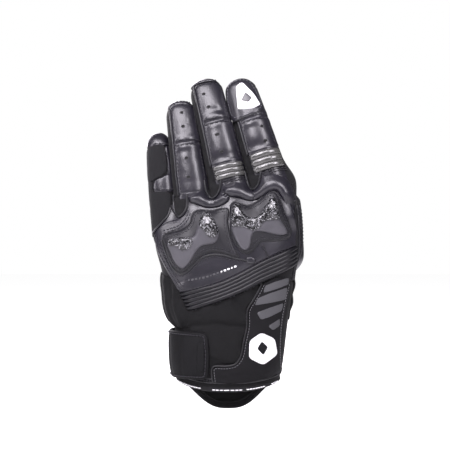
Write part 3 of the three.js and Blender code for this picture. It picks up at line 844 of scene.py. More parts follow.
def on_root(obj, name, *nodes, slot=None):
    """For the pieces over a knuckle: hides their CAD nodes and bakes their transforms; no bend is made."""
    start, end = (place_on(fingers[name], s) for s in ROOT_BEND)
    paint(obj, *nodes, slot=slot)
    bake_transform(obj)
    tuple(start)
    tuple(end)


def on_finger(obj, name, *nodes, slot=None):
    """For the pieces past the knuckle: hides their CAD nodes and bakes their transforms; no bend is made."""
    joint = MIDDLE_JOINT * fingers[name].length
    start, end = (place_on(fingers[name], s) for s in (joint - JOINT_BEND, joint + JOINT_BEND))
    paint(obj, *nodes, slot=slot)
    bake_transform(obj)
    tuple(start)
    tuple(end)


# ---------------------------------------------------------------- fingers

# Lengths along each finger of its seams: the ribs' lower and upper ends, the cross seam and the cap's edge.
SEAMS = {
    "index": dict(ribs=(29.5, 50.0), cross=74.0, cap=101.0),
    "middle": dict(ribs=(26.5, 43.5), cross=75.0, cap=106.5),
    "ring": dict(ribs=None, cross=64.5, cap=95.5),
    "little": dict(ribs=None, cross=None, cap=74.0),
}
# Each finger's perforations, in its chart's millimetres.
HOLES = {
    "index": ((5.5, 66), (4.5, 54.5)),
    "middle": ((-1.5, 97.5), (-0.6, 86.5), (0.3, 64), (0.4, 50.5)),
    "ring": ((1.0, 88), (0.8, 77), (0.4, 52.5), (0.2, 38)),
}
LEATHER = (-36.0, 82.0)  # degrees round the finger that its back leather covers, more on the thumb side
PANEL_LOW = 4.0  # where the finger's back leather begins, hidden under the hand's


TUBE_ANGLES = np.arange(0, 360, 7.5)
PALM_SIDE = 1.6  # how steeply a finger's palm side sets in past its sides


def finger_tube(name, f, s0, s1, point, tip):
    """A finger's tube: leather on its palm, and a stretch strip at each side that runs round to the back."""
    lengths = np.arange(s0, s1 - 0.6, 2.0)
    if tip:
        lengths = np.concatenate([lengths[lengths < s1 - DOME - 1], dome_lengths(s1)])
    else:
        lengths = np.append(lengths, s1)
    obj = grid_tube(name, point, TUBE_ANGLES, lengths, M["knit"], thickness=0 if tip else 1.2)
    obj.data.materials.append(M["palm"])
    paint_palm(obj, f)
    return obj


def palm_creases(s, joint):
    """Soft folds over the palm side of a joint."""
    below, above = (0.45 * np.exp(-((s - joint + x) / 1.5) ** 2) for x in (7, -7))
    return -0.7 * np.exp(-((s - joint) / 1.6) ** 2) - below - above


def panel_outline(s0, s1, span=LEATHER):
    """A panel's outline in the finger's chart, between two lengths and two angles."""
    a, b = (math.radians(x) * ROUND for x in span)
    side = np.linspace(s0, s1, 12)
    return rounded([(a, s0), *[(b, s) for s in side], *[(a, s) for s in side[::-1][:-1]]], 1.5, 3)


def across_line(s, inset=0.0, bow=0.0, span=LEATHER):
    """A line across the finger's back at one length, bowed towards the tip by bow."""
    t = np.linspace(-1, 1, 30)
    angle = span[0] + inset + (t + 1) / 2 * (span[1] - span[0] - 2 * inset)
    return np.stack([np.radians(angle) * ROUND, s + bow * (1 - t**2)], -1)


def along_line(angle, s0, s1):
    return np.stack([np.full(40, math.radians(angle) * ROUND), np.linspace(s0, s1, 40)], -1)


def finger_relief(f, cross, seed, low=None):
    """Gentle folds in the leather of a finger's back, which dips just above its ribs."""
    rng = random.Random(seed)
    folds = [(rng.uniform(30, f.length - 18), rng.uniform(-9, 9), rng.uniform(5, 9), rng.uniform(-0.5, 0.5),
              rng.uniform(-0.22, -0.08)) for _ in range(7)]

    def relief(u, v, d):
        h = np.zeros_like(u)
        for s, at, wide, slope, deep in folds:
            h += deep * np.exp(-(((v - s) - slope * (u - at)) / 2.6) ** 2 - ((u - at) / wide) ** 2)
        if cross:
            for side in (-3.4, 3.4):
                h += 0.5 * np.exp(-((v - cross - side) / 2.4) ** 2)
            h -= 0.9 * np.exp(-((v - cross) / 0.7) ** 2)
        if low:
            h -= 0.9 * np.exp(-((v - low - 4) / 4.5) ** 2)
        return h * np.clip(d / 3, 0, 1)
    return relief


def build_finger(name):
    f, seam = fingers[name], SEAMS[name]
    chart = finger_chart(f)
    joint = MIDDLE_JOINT * f.length

    def folded(a, s, h):
        palm = np.clip(-np.cos(np.radians(a)) * PALM_SIDE, 0, 1)
        sunk_in = 7 * smooth((4 - s) / 20)
        side = 0.0
        if name == "index":  # the hand's side runs up beside the index finger
            side = 5.2 * np.exp(-(((a - 96) / 30) ** 2) - ((s - 21) / 13) ** 2)
        return f.surface(a, s, h + palm * (0.5 + palm_creases(s, joint)) - sunk_in + side)

    root = finger_tube(f"{name}_root", f, -20, SPLIT, folded, False)
    on_root(root, name, f"{name}_palm_proximal", slot="gusset_fabric")
    body = finger_tube(f"{name}_sides", f, SPLIT - 0.6, f.length, folded, True)
    on_finger(body, name, f"{name}_palm_distal", f"{name}_flex_gusset", slot="gusset_fabric")
    palm_seams(name, f, lambda u, v, h: folded(np.degrees(u / ROUND), v, h))
    if name == "little":
        little_back(f, chart)
        return

    start = seam["ribs"][1] - 1.5 if seam["ribs"] else SPLIT - 1.2
    relief = finger_relief(f, seam["cross"], len(name), start if seam["ribs"] else None)
    a, b = (math.radians(x) * ROUND for x in (LEATHER[0] - 2, LEATHER[1] + 2))
    low_line = rounded([(a + 2, PANEL_LOW), (b, PANEL_LOW), (b, SPLIT), (a, SPLIT), (a, 21), (a + 2, 17)],
                       1.2, 3)
    low = patch(f"{name}_back_base", chart, low_line, M["back"], 1.0, 1.4, spacing=1.8)
    on_root(low, name, f"{name}_back_proximal")
    if seam["ribs"]:
        under = patch(f"{name}_rib_backing", chart, panel_outline(SPLIT - 1, start + 2), M["back"], 0.7, 1.0)
        on_finger(under, name)
    main = patch(f"{name}_back", chart, panel_outline(start, seam["cap"]), M["back"], 1.25, 1.6,
                 spacing=1.1, relief=relief)
    on_finger(main, name, f"{name}_back_distal")
    tip_cap(name, f, seam["cap"])

    rows = [across_line(seam["cross"] + x, 11) for x in (-1.9, 1.9)]
    thread = stitches(f"{name}_cross_seam_thread", chart, rows, M["thread"], 1.75)
    on_finger(thread, name)
    sides = [along_line(a, start + 3, seam["cap"] - 2.5) for a in (LEATHER[0] + 9, LEATHER[1] - 27)]
    sides.append(across_line(seam["cap"] - 1.6, 22))
    welt = [on_chart(chart, along_line(LEATHER[0] - 4, start, seam["cap"] + 1), 0.5)]
    on_finger(tubes(f"{name}_side_piping", welt, 0.8, M["piping"]), name)
    on_finger(stitches(f"{name}_edge_thread", chart, sides, M["thread"], 1.3), name)
    on_finger(perforations(f"{name}_perforations", chart, HOLES[name], 1.32), name)


def palm_seams(name, f, chart):
    """The seams down both edges of a finger's palm leather, and one across it near the tip."""
    parts = (("low", -2, SPLIT - 1, on_root), ("high", SPLIT + 0.5, f.length - 11, on_finger))
    for label, s0, s1, place in parts:
        edges = [on_chart(chart, along_line(a, s0, s1), 0.1) for a in (112, 248)]
        place(tubes(f"{name}_palm_piping_{label}", edges, 0.42, M["piping"]), name)
        rows = [along_line(a, s0 + 1, s1 - 1) for a in (121, 239)]
        thread = stitches(f"{name}_palm_thread_{label}", chart, rows, M["pale_thread"], 0.2, *FINE_STITCH)
        place(thread, name)
    t = np.linspace(124, 236, 30)
    across = np.stack([np.radians(t) * ROUND, f.length - 17 - 2 * np.cos(np.radians((t - 180) * 1.6))], -1)
    rows = [across, across - (0, 2.0)]
    on_finger(stitches(f"{name}_pad_thread", chart, rows, M["pale_thread"], 0.2, *FINE_STITCH), name)


def paint_palm(obj, f):
    """Leather on the faces of the finger's palm side, with the stretch strips left at its sides."""
    mesh = obj.data
    for p in mesh.polygons:
        c = np.array(p.center) / MM
        s = np.interp(c[2], f.points[:, 2], f.s)
        point, way = f.at(s)
        depth = np.cross(way, f.across)
        y = (c - point) @ depth
        palm = y > 0.35 * f.depth or (s > f.length - 9 and y > -0.2 * f.depth)
        p.material_index = 1 if palm else 0


def tip_cap(name, f, cap):
    """The leather cap over a fingertip, with its rolled edge at the seam."""
    low, high = LEATHER[0] - 30, LEATHER[1] + 14
    angles = np.linspace(low, high, 36)
    lengths = np.concatenate([np.arange(cap + 0.6, f.length - DOME, 1.5), dome_lengths(f.length, 12)])
    lengths = np.unique(np.round(lengths[lengths > cap + 0.5], 3))

    def point(a, s, h):
        edge = np.clip((s - cap - 0.6) / 1.4, 0, 1)
        side = np.clip(np.minimum(a - low, high - a) / 10, 0, 1)
        return f.surface(a, s, 1.15 * edge_rise(edge) * edge_rise(side) + h)

    obj = grid_tube(f"{name}_tip_cap", point, angles, lengths, M["back"], closed=False, thickness=1.5)
    on_finger(obj, name)
    line = across_line(cap + 2.2, 24)
    on_finger(stitches(f"{name}_cap_thread", finger_chart(f), [line], M["thread"], 1.35), name)


def perforations(name, chart, places, h):
    """Small punched holes, each a raised rim round a near-black disc: painted shade for a hole that is not
    cut.
    """
    rims, shade_discs = [], []
    turn = np.linspace(0, 2 * np.pi, 16, endpoint=False)
    for u, v in places:
        rim, shade_disc = (np.stack([u + r * np.cos(turn), v + r * np.sin(turn)], -1) for r in (1.1, 1.0))
        rims.append(on_chart(chart, rim, h - 0.02))
        shade_discs.append(patch("shade_disc", chart, shade_disc, M["hole"], 0.1, 0.3, h - 0.05, 0.5, sunk=0.4))
    rim = tubes(name, rims, 0.16, M["back"], 6, closed=True)
    return join(name, [rim] + shade_discs)


def rib(name, chart, path, radius, material, flatten):
    """One padded roll across a finger or the wrist: round on top, thin at its ends."""
    p = resample(path, 1.2, closed=False)
    t = np.linspace(0, 1, len(p))
    from_end = np.minimum(t, 1 - t)
    r = radius * (0.25 + 0.75 * np.clip(np.sin(np.pi * from_end) * 4, 0, 1) ** 0.5)
    side = left_of(p)
    around = np.linspace(0, 2 * np.pi, 14, endpoint=False)
    verts = []
    for a in around:
        q = p + side * (r * math.cos(a))[:, None]
        verts.append(chart(q[:, 0], q[:, 1], 0.3 + r * flatten * (1.1 + math.sin(a))))
    return solid(name, np.stack(verts, 1).reshape(-1, 3), ring_faces(len(p), len(around)), material)


def fold_strip(name, chart, path, profile, reach, material, keep, ends):
    """A length of a rolled fold: its profile swept along the path, and keep gives the part that is made."""
    p = resample(path, 1.0, closed=False)
    side = left_of(p)
    t = np.linspace(0, 1, len(p)) * len(p)
    end = smooth(np.minimum(t / ends[0], (len(p) - t) / ends[1]))
    over = np.maximum(np.maximum(keep[0] - p[:, 0], p[:, 0] - keep[1]), 0)
    above = reach(p)
    rings = []
    for offset, height in profile:
        wide = np.where(offset > 0, above, 1.0) * offset * (0.5 + 0.5 * end)
        q = p + side * wide[:, None]
        lift = height * end - 0.5 * over - 1.0 * (1 - end) if height > 0 else np.full(len(p), height)
        rings.append(chart(q[:, 0], q[:, 1], lift))
    rings = np.stack(rings, 1)
    rows = np.flatnonzero(over <= 1.6)
    rings = rings[rows[0]:rows[-1] + 1]
    return solid(name, rings.reshape(-1, 3), ring_faces(*rings.shape[:2]), material)


FINGER_RIBS = 3


def finger_ribs(name):
    """The padded rolls over a finger's first phalanx, and the seam below them."""
    chart = finger_chart(fingers[name])
    low, high = SEAMS[name]["ribs"]
    pitch = (high - low - 6) / FINGER_RIBS
    made = []
    for k in range(FINGER_RIBS):
        path = across_line(low + 3 + pitch * (k + 0.5), 2, 0.6, (LEATHER[0], LEATHER[1] - 21))
        made.append(rib(f"{name}_rib_{k + 1}", chart, path, pitch * 0.52, M["rib_pale"], 0.62))
    ribs = join(f"{name}_ribs", made)
    on_finger(ribs, name, f"{name}_finger_ribs")
    rows = [across_line(low - 0.4, 12, 0.8), across_line(low + 1.5, 12, 0.6)]
    on_finger(stitches(f"{name}_rib_thread", chart, rows, M["thread"], 1.35), name)


def little_back(f, chart):
    """The little finger: a leather cap, a dark stretch side, and small leather pieces on its back."""
    low = patch("little_back_base", chart, panel_outline(PANEL_LOW, SPLIT, (-86, 62)), M["stretch"], 0.9, 1.4,
                spacing=1.8)
    on_root(low, "little", "little_back_proximal", slot="stretch_fabric")
    outline = curve_through([(-16, 26), (5, 26), (6, 37), (2, 38), (-8, 39), (-9, 46), (-16, 48)], True, 6)
    side = patch("little_side_patch", chart, outline, M["stretch"], 0.9, 1.2)
    on_finger(side, "little")
    outline = curve_through([(-7, 39), (4, 37.5), (13.5, 38.5), (14, 50), (7, 51), (1, 48.5), (-6, 46)],
                            True, 6)
    joint = patch("little_back", chart, outline, M["back"], 1.2, 1.4, relief=finger_relief(f, None, 3))
    on_finger(joint, "little", "little_back_distal")
    outline = curve_through([(-16, 47), (-6, 47.5), (1, 50), (5.5, 54), (6, 63), (5.5, 72.5), (-16, 72.5)],
                            True, 6)
    dark = patch("little_stretch_patch", chart, rounded(outline, 1), M["stretch"], 1.0, 1.2, bulge=0.9)
    on_finger(dark, "little", "little_outer_patch")
    strip = curve_through([(7.0, 51.5), (13.5, 51), (14, 60), (13, 72), (7, 73), (7.4, 60)], True, 6)
    shiny = patch("little_inner_strip", chart, strip, M["back"], 1.3, 1.3)
    on_finger(shiny, "little")
    tip_cap("little", f, 72.5)
    rows = [curve_through([(-6, 40.2), (4, 38.8), (12.5, 39.8)], False, 8),
            curve_through([(5.5, 50), (6.9, 55), (6.9, 64), (6, 71)], False, 8)]
    on_finger(stitches("little_edge_thread", chart, rows, M["thread"], 1.45), "little")
    inner = curve_through([(7, 8), (14, 8), (14.5, 18), (14, 27), (7.5, 27), (6.5, 18)], True, 6)
    below = patch("little_inner_leather", chart, rounded(inner, 1), M["back"], 1.1, 1.2, spacing=1.2)
    on_root(below, "little")
    rings = [curve_through([(7, x), (10.5, x + 0.5), (14, x)], False, 6) for x in (19, 21.5, 24)]
    on_root(stitches("little_ring_thread", chart, rings, M["thread"], 1.5), "little")


def index_tip_patch():
    """The patch on the index fingertip: piped edge, a plain pale lozenge, and a raised pad."""
    f = fingers["index"]
    chart = finger_chart(f)
    outline = curve_through([(-11.5, 77.5), (0, 76.5), (11, 79.5), (12, 92), (8, 104), (0, 107), (-8, 105),
                             (-12.5, 95)], True, 8)
    base = patch("index_tip_patch", chart, outline, M["back"], 1.1, 1.3, 1.3, sunk=1.2)
    on_finger(base, "index", "index_tip_patch", slot="back_leather")
    edge = [on_chart(chart, resample(outline, 0.8), 1.75)]
    on_finger(tubes("index_patch_piping", edge, 0.55, M["piping"], closed=True), "index")
    inner = [(x * 0.83, 91.5 + (y - 91.5) * 0.86) for x, y in outline]
    on_finger(stitches("index_patch_thread", chart, [inner], M["pale_thread"], 2.45, 1.2, 1.0, 0.22), "index")
    lozenge = rounded([(-5, 83.5), (3, 80.5), (9.5, 83), (7.3, 92), (2.2, 102.5), (-1.8, 101)], 1.4)
    film = patch("index_patch_film", chart, lozenge, M["film"], 0.25, 0.5, 2.35, 1.0, sunk=0.3)
    on_finger(film, "index")
    slit = rounded([(-1.4, 89), (1.8, 86), (4.8, 89), (1.9, 94.5)], 1.0)
    hollow = patch("index_patch_inset", chart, slit, M["back"], 0.25, 0.5, 2.5, 1.0, sunk=0.3)
    on_finger(hollow, "index")


for finger_name in FINGERS:
    build_finger(finger_name)
finger_ribs("index")
finger_ribs("middle")
index_tip_patch()

# ---------------------------------------------------------------- hand

# The height where the hand ends between the fingers, at places across it.
WEBS = ((-60, -47, -36, -9.5, 20, 42, 54, 62), (112, 120, 133, 150, 153, 152, 149, 139))
HAND_DOME = 16.0
BACK_DOME = 30.0
MID_Y = -2  # the hand's top edge closes towards this depth


def hand_point(angle, z, h):
    """The hand's surface, which closes in a rounded edge at the webs between the fingers."""
    cx, cy, w, d = section(z)
    x, y = oval(angle, w + h, d + h, HAND_POWER)
    x = x + 4.0 * np.exp(-(((angle - 92) / 26) ** 2)) * smooth((z - 88) / 22) * (1 - smooth((z - 142) / 16))
    top = np.interp(cx + x, *WEBS) + h
    dome = np.where(cy + y < MID_Y, BACK_DOME, HAND_DOME)
    t = np.clip((z - (top - dome)) / dome, 0, 1)
    share = np.maximum(1 - t**2.5, 0) ** 0.4
    return np.stack([cx + x, MID_Y + (cy + y - MID_Y) * share, np.minimum(z, top)], -1)


def hand_chart(u, v, h):
    return hand_point(u / CUFF_MM, v, h)


def upright(angle, low, high):
    """A line up the hand's or cuff's chart at one angle."""
    return np.stack([np.full(40, angle * CUFF_MM), np.linspace(low, high, 40)], -1)


def degrees_outline(corners, radius=3):
    """A rounded outline on the cuff's or hand's chart, from angles and heights."""
    return rounded([(a * CUFF_MM, z) for a, z in corners], radius, 6)


def hand_shell():
    """The stretch cloth all round the hand, with the upright seams on its thumb side."""
    def tucked(angle, z, h):
        return hand_point(angle, z, h - 1.6 * smooth((86 - z) / 10))

    lengths = np.concatenate([np.arange(74, 112, 2.5), np.arange(112, 155, 1.2)])
    shell = grid_tube("hand_shell", tucked, np.arange(0, 360, 4.0), lengths, M["stretch"])
    on_wrist(shell, "outer_side_panel", "thumb_gusset_panel", slot="stretch_fabric")
    welts = [on_chart(hand_chart, upright(a, 82, 140), 0.4) for a in (72, 79)]
    on_wrist(tubes("thumb_side_piping", welts, 0.75, M["piping"]))
    rows = [upright(a, 82, 138) for a in (75.5, 83)]
    on_wrist(stitches("thumb_side_thread", hand_chart, rows, M["thread"], 0.3))


def back_relief(x, z, d):
    """Slack folds in the leather between the guards and the wrist."""
    h = 0.5 * np.exp(-((z - 92 - 0.25 * x) / 5) ** 2) * np.exp(-((x + 5) / 25) ** 2)
    h -= 0.7 * np.exp(-((z - 84 - 0.45 * (x + 30)) / 1.6) ** 2) * np.exp(-((x + 38) / 8) ** 2)
    h -= 0.6 * np.exp(-((z - 97 - 0.9 * (x + 48)) / 1.4) ** 2) * np.exp(-((x + 48) / 6) ** 2)
    return h * np.clip(d / 4, 0, 1)


def hand_back():
    """The leather over the back of the hand, its corner over the little finger's root, and its seams."""
    outline = [(-56, 118.5), (-54.5, 106), (-48.5, 93), (-41.5, 81), (-36, 73.5), (-21, 76), (-5.5, 81),
               (10, 88), (25.5, 96.5), (41.5, 104.5), (54, 109.5), (54, 121), (50.5, 138), (47, 150.5),
               (43, 159), (39, 161.5), (33.5, 159), (27.5, 154.5), (20.5, 151.5), (14, 154.5), (7, 158.5),
               (1.5, 154.5), (-4, 148), (-10, 144.5), (-17, 146.5), (-24, 147.5), (-30.5, 146),
               (-33, 139.5), (-36, 130.5), (-39, 129), (-43.5, 128), (-48.5, 126), (-52.5, 123)]
    leather_back = patch("hand_back", back_chart, curve_through(outline, True, 5), M["back"], 1.0, 1.5, 0.1,
                         spacing=2.0, relief=back_relief, sunk=1.4)
    on_wrist(leather_back, "back_panel")
    corner = [(-53, 121.5), (-50, 127), (-47, 132), (-44.5, 137.5), (-40, 134), (-35.5, 129.5),
              (-36.5, 124), (-44.5, 121.5)]
    corner = curve_through(corner, True, 5)
    on_root(patch("little_root_leather", back_chart, corner, M["back"], 0.8, 1.3, -0.1, sunk=1.6), "little")
    left_seam = curve_through([(-54.5, 116), (-53, 106), (-47, 93.5), (-40, 82), (-34.5, 74)], False)
    rows = [left_seam, offset_path(left_seam, 2.0)]
    on_wrist(stitches("hand_back_thread", back_chart, rows, M["thread"], 1.2))
    diagonal = curve_through([(-57, 118.5), (-54, 122.5), (-50, 127), (-46, 132), (-44.5, 138)], False)
    diagonal = resample(diagonal, 1, False)
    low, high = ([on_chart(back_chart, line, 1.1)] for line in (diagonal[:6], diagonal[4:]))
    on_wrist(tubes("outer_side_piping", low, 0.8, M["piping"]))
    on_root(tubes("little_root_piping", high, 0.8, M["piping"]), "little")
    short = curve_through([(27.5, 109), (29, 105.5), (31.5, 100.5)], False)
    on_wrist(piping("back_seam_piping", back_chart, short, 1.2, 0.45))
    on_wrist(stitches("back_seam_thread", back_chart, [offset_path(short, -1.3)], M["thread"], 1.25, 1.4, 0.8,
                      0.25))
    upper = curve_through([(-49, 118), (-43, 120), (-36, 122.5), (-30.5, 128), (-27.5, 135)], False)
    rows = [upper, offset_path(upper, 1.8)]
    on_wrist(stitches("guard_upper_thread", back_chart, rows, M["thread"], 1.25))


LEFT_PAD = [(-49, 116), (-43, 119), (-35, 121), (-29, 125.5), (-26.5, 133.5), (-22.5, 136),
            (-11.5, 135.5), (-4, 137.5), (1, 137.5), (1, 127), (2.5, 116), (5.5, 107), (8.5, 100.5),
            (2.5, 101.5), (-4, 103.5), (-10, 104.5), (-17, 103), (-23.5, 98.5), (-28, 93), (-33, 89.5),
            (-37.5, 89.5), (-41.5, 93.5), (-45, 100.5), (-47.5, 108.5)]
RIGHT_PAD = [(2.5, 139.5), (5.5, 142.5), (10, 141), (15.5, 139.5), (22, 142), (27.5, 146), (32, 150),
             (36, 150.5), (40, 146.5), (43.5, 136.5), (47.5, 127), (49, 120), (47, 115), (40, 113),
             (32, 112.5), (26.5, 112.5), (22.5, 109), (19.5, 105), (15, 103), (11, 104.5), (6, 109.5),
             (3, 117), (2, 127)]
LEFT_INSERT = [(-18, 134.5), (-15, 134.5), (-11, 130.5), (-7, 124), (-6, 118.5), (-7.5, 113),
               (-10, 110.5), (-15, 109.5), (-19.5, 108.5), (-23.5, 104.5), (-26.5, 99), (-30.5, 93.5),
               (-33.5, 91.5), (-36.5, 93), (-40, 97.5), (-43, 104.5), (-45, 109), (-44.5, 112.5),
               (-40.5, 115), (-35, 115.5), (-29.5, 115.5), (-25.5, 116), (-23.5, 121), (-21.5, 128),
               (-20, 132.5)]
RIGHT_INSERT = [(5, 140), (8, 141), (10.5, 139), (12.5, 134), (17, 130.5), (22.5, 131), (26.5, 134),
                (29, 139), (31.5, 142), (33.5, 146), (36, 146.5), (38.5, 142.5), (40, 135), (41.5, 128),
                (45, 121.5), (45, 118), (40.5, 117), (33.5, 118), (25.5, 119.5), (20.5, 119),
                (18.5, 115.5), (18, 110.5), (16, 106.5), (13.5, 105.5), (10.5, 107), (6.5, 113.5),
                (4, 119.5), (2.5, 127), (3, 134)]
LEFT_CARBON = [[(-18, 134), (-15, 134), (-11, 130), (-7.5, 124), (-6.5, 118.5), (-9.5, 115), (-14, 115.5),
                (-18, 120), (-21, 123), (-20.5, 129.5)],
               [(-44, 112.5), (-40.5, 114.5), (-35, 115), (-29.5, 115), (-26.5, 114), (-26, 110.5),
                (-29, 106.5), (-33.5, 105.5), (-38, 108.5), (-43.5, 109)]]
RIGHT_CARBON = [[(5, 139.5), (8, 141), (10.5, 138), (12.5, 133.5), (17, 130), (22.5, 130.5), (26.5, 134),
                 (29, 138.5), (32, 142), (34, 145.5), (36, 146), (38, 142), (39.5, 135), (40, 129.5),
                 (33.5, 128), (28, 126.5), (24, 121.5), (19.5, 120), (15, 122), (8.5, 123), (3.5, 123),
                 (3, 129.5), (3.5, 135)]]


# Lobes over the knuckles: x, height up the hand, width and height over the pad.
LEFT_HILLS = [(-14, 125, 9, 3.0), (-35, 112, 9, 2.2)]
RIGHT_HILLS = [(9, 132, 9, 3.2), (36, 136, 10, 3.2)]
PAD = dict(height=1.8, edge=1.6, base=0.9, bulge=1.0, reach=6)
INSERT_BASE = 2.9
INSERT_HEIGHT = 2.2
INSERT_LOBES = 1.25  # how much taller the insert's lobes are than the pad's


def bumps(places):
    """A smooth relief with rounded hills at (x, z, width, height)."""
    def relief(x, z, d):
        h = np.zeros_like(x)
        for bx, bz, wide, tall in places:
            h += tall * np.exp(-((x - bx) ** 2 + (z - bz) ** 2) / wide**2)
        return h * np.clip(d / 2.5, 0, 1)
    return relief


def pad_chart(line, hills):
    """The guard's chart, raised to the pad's own surface."""
    def chart(u, v, h):
        points = np.stack([np.ravel(u), np.ravel(v)], -1)
        d = distance_to(points, line)
        top = PAD["base"] + PAD["height"] * edge_rise(np.clip(d / PAD["edge"], 0, 1))
        top = top + PAD["bulge"] * (1 - np.exp(-((d / PAD["reach"]) ** 2)))
        return guard_chart(u, v, h + (top + bumps(hills)(points[:, 0], points[:, 1], d)).reshape(np.shape(u)))
    return chart


def on_insert(line, lobes):
    """A relief that lies on the insert's surface."""
    def relief(x, z, d):
        e = np.clip(distance_to(np.stack([x, z], -1), line) / INSERT_HEIGHT, 0, 1)
        return 0.3 + INSERT_HEIGHT * edge_rise(e) + lobes(x, z, e * 2.5)
    return relief


def inner_line(outline, distance):
    """A line for a seam at a distance inside an outline."""
    return moved_in(anticlockwise(resample(outline, 1.0)), distance, 0.9)


def guard(side, pad_line, insert_line, carbon_lines, hills, node):
    """A knuckle guard: a moulded pad sewn on the back, and a hard insert with a lobe over each knuckle."""
    pad_line = curve_through(pad_line, True, 5)
    pad = patch(f"knuckle_pad_{side}", guard_chart, pad_line, M["rubber"], **PAD, relief=bumps(hills),
                sunk=3.0)
    on_wrist(pad, f"knuckle_pad_{node}")
    rows = [inner_line(pad_line, 1.5), inner_line(pad_line, 3.0)]
    on_wrist(stitches(f"knuckle_pad_{side}_thread", pad_chart(pad_line, hills), rows, M["thread"], 0.1, 1.6,
                      0.8, 0.26))
    # The piping runs round the pad, but not along the valley that the two pads share.
    edge = resample(pad_line, 0.8)
    first = np.argmin(np.hypot(edge[:, 0] - 2, edge[:, 1] - 124))
    edge = np.roll(edge, -first, 0)
    shared = (edge[:, 0] > -4) & (edge[:, 0] < 9) & (edge[:, 1] > 105) & (edge[:, 1] < 139)
    edge = [on_chart(guard_chart, edge[~shared], 1.4)]
    on_wrist(tubes(f"knuckle_pad_{side}_piping", edge, 0.6, M["piping"]))
    insert_line = curve_through(insert_line, True, 5)
    lobes = bumps([(x, z, w, t * INSERT_LOBES) for x, z, w, t in hills])
    insert = patch(f"knuckle_insert_{side}", guard_chart, insert_line, M["grey"], INSERT_HEIGHT,
                   INSERT_HEIGHT, INSERT_BASE, 1.2, relief=lobes, sunk=2.0)
    on_wrist(insert, f"knuckle_insert_{node}")
    for k, line in enumerate(carbon_lines):
        line = curve_through(line, True, 4)
        chips = patch(f"carbon_{side}_{k + 1}", guard_chart, line, M["carbon"], 0.5, 0.8, INSERT_BASE, 0.9,
                      relief=on_insert(insert_line, lobes), sunk=-1.0, lip=0.7)
        on_wrist(chips)


def guards():
    """Both guards, the seam below them, and the small raised leather piece at its end."""
    guard("left", LEFT_PAD, LEFT_INSERT, LEFT_CARBON, LEFT_HILLS, "ring_little")
    guard("right", RIGHT_PAD, RIGHT_INSERT, RIGHT_CARBON, RIGHT_HILLS, "index_middle")
    seam = curve_through([(-50, 113), (-47.5, 105.5), (-43.5, 96), (-40, 89.5), (-36, 87), (-31, 88.5),
                          (-25.5, 94), (-19.5, 99.5), (-11.5, 102), (-2.5, 101.5), (7, 99), (15, 97.5),
                          (20.5, 97.5)], False)
    on_wrist(piping("guard_seam_piping", back_chart, seam, 1.4, 0.7))
    on_wrist(stitches("guard_seam_thread", back_chart, [offset_path(seam, -1.8)], M["thread"], 1.3))
    bump = rounded([(14, 100), (19.5, 100.5), (22.5, 97.5), (20.5, 94.5), (15, 95)], 2)
    on_wrist(patch("back_bump", back_chart, bump, M["back"], 1.4, 1.8, 0.9, 0.9))


# The U-shaped edges of the strips between the fingers, on the back of the hand.
WEB_LINES = {
    "little_ring": [(-41.5, 148), (-41.5, 145), (-41.5, 140.5), (-40.5, 134.5), (-37, 131), (-33, 134),
                    (-31, 139.5), (-31, 145), (-31, 148)],
    "ring_middle": [(-18.5, 159), (-17.5, 153), (-15.5, 148), (-11.5, 145), (-8, 147.5), (-5.5, 152.5),
                    (-4.5, 159)],
    "middle_index": [(13.5, 166), (15, 159), (17, 154), (20.5, 152.5), (24, 155.5), (25.5, 160.5),
                     (26.5, 166)],
}
WEB_FINGERS = {"little_ring": "ring", "ring_middle": "middle", "middle_index": "index"}


def web_room(p):
    """How much of its full width a fold has towards the fingers, so that it stops short of the webs."""
    near = np.full(len(p), 99.0)
    for line in WEB_LINES.values():
        near = np.minimum(near, distance_to(p, curve_through(line, False), False))
    return np.clip((near - 1.2) / 7.0, 0.3, 1.0)


# Across the rolled fold, from the guards towards the fingers: offset and height.
RIDGE_PROFILE = [(-3.0, -1.6), (-3.7, -0.2), (-3.8, 1.0), (-3.4, 2.3), (-2.4, 3.5), (-1.0, 4.3), (0.6, 4.6),
                 (2.4, 4.3), (4.2, 3.5), (5.8, 2.5), (7.4, 1.6), (9.0, 0.8), (10.4, -0.3), (8.0, -1.6),
                 (2.0, -2.0)]


def ridge():
    """The rolled fold of leather above the guards: steep at the guards, running out towards the fingers.
    Its parts are named for the fingers that they cross."""
    left = curve_through([(-33, 144.5), (-29, 145.5), (-23.5, 144), (-15, 141), (-7, 142), (-1, 145.5),
                          (2.5, 150)], False)
    right = curve_through([(-2.5, 157), (-1, 153.5), (3, 150), (9.5, 149), (18, 146.5), (25, 148.5),
                           (31.5, 153.5), (36.5, 155), (41.5, 153), (45, 147.5), (47, 141), (48, 134)], False)
    parts = [("ring", "ring", left, (-40, -9.5)), ("middle_left", "middle", left, (-9.5, 5)),
             ("middle_right", "middle", right, (-6, 20)), ("index", "index", right, (20, 60))]
    for label, name, path, keep in parts:
        ends = (7.0, 7.0) if path is left else (7.0, 16.0)
        fold = fold_strip(f"ridge_{label}", back_chart, path, RIDGE_PROFILE, web_room, M["back"], keep, ends)
        on_root(fold, name)
    knot = curve_through([(-1.5, 146.5), (1, 149)], False)
    rows = [offset_path(knot, x) for x in (-2, 0, 2)]
    on_root(stitches("ridge_thread", back_chart, rows, M["pale_thread"], 3.7, 1.6, 0.8, 0.3), "middle")


def webs():
    """The stretch strips between the fingers, which end in a piped U on the back of the hand."""
    for name, line in WEB_LINES.items():
        edge = curve_through(line, False)
        top = max(line[0][1], line[-1][1])
        strip = patch(f"web_{name}", guard_chart, edge, M["knit"], 0.5, 1.0, 1.1, sunk=4.0,
                      relief=lambda u, v, d, top=top: -1.8 * smooth((v - top + 5) / 5))
        on_root(strip, WEB_FINGERS[name])
        on_root(piping(f"web_{name}_piping", guard_chart, edge, 1.6, 0.85), WEB_FINGERS[name])


WRIST_RIBS = 5


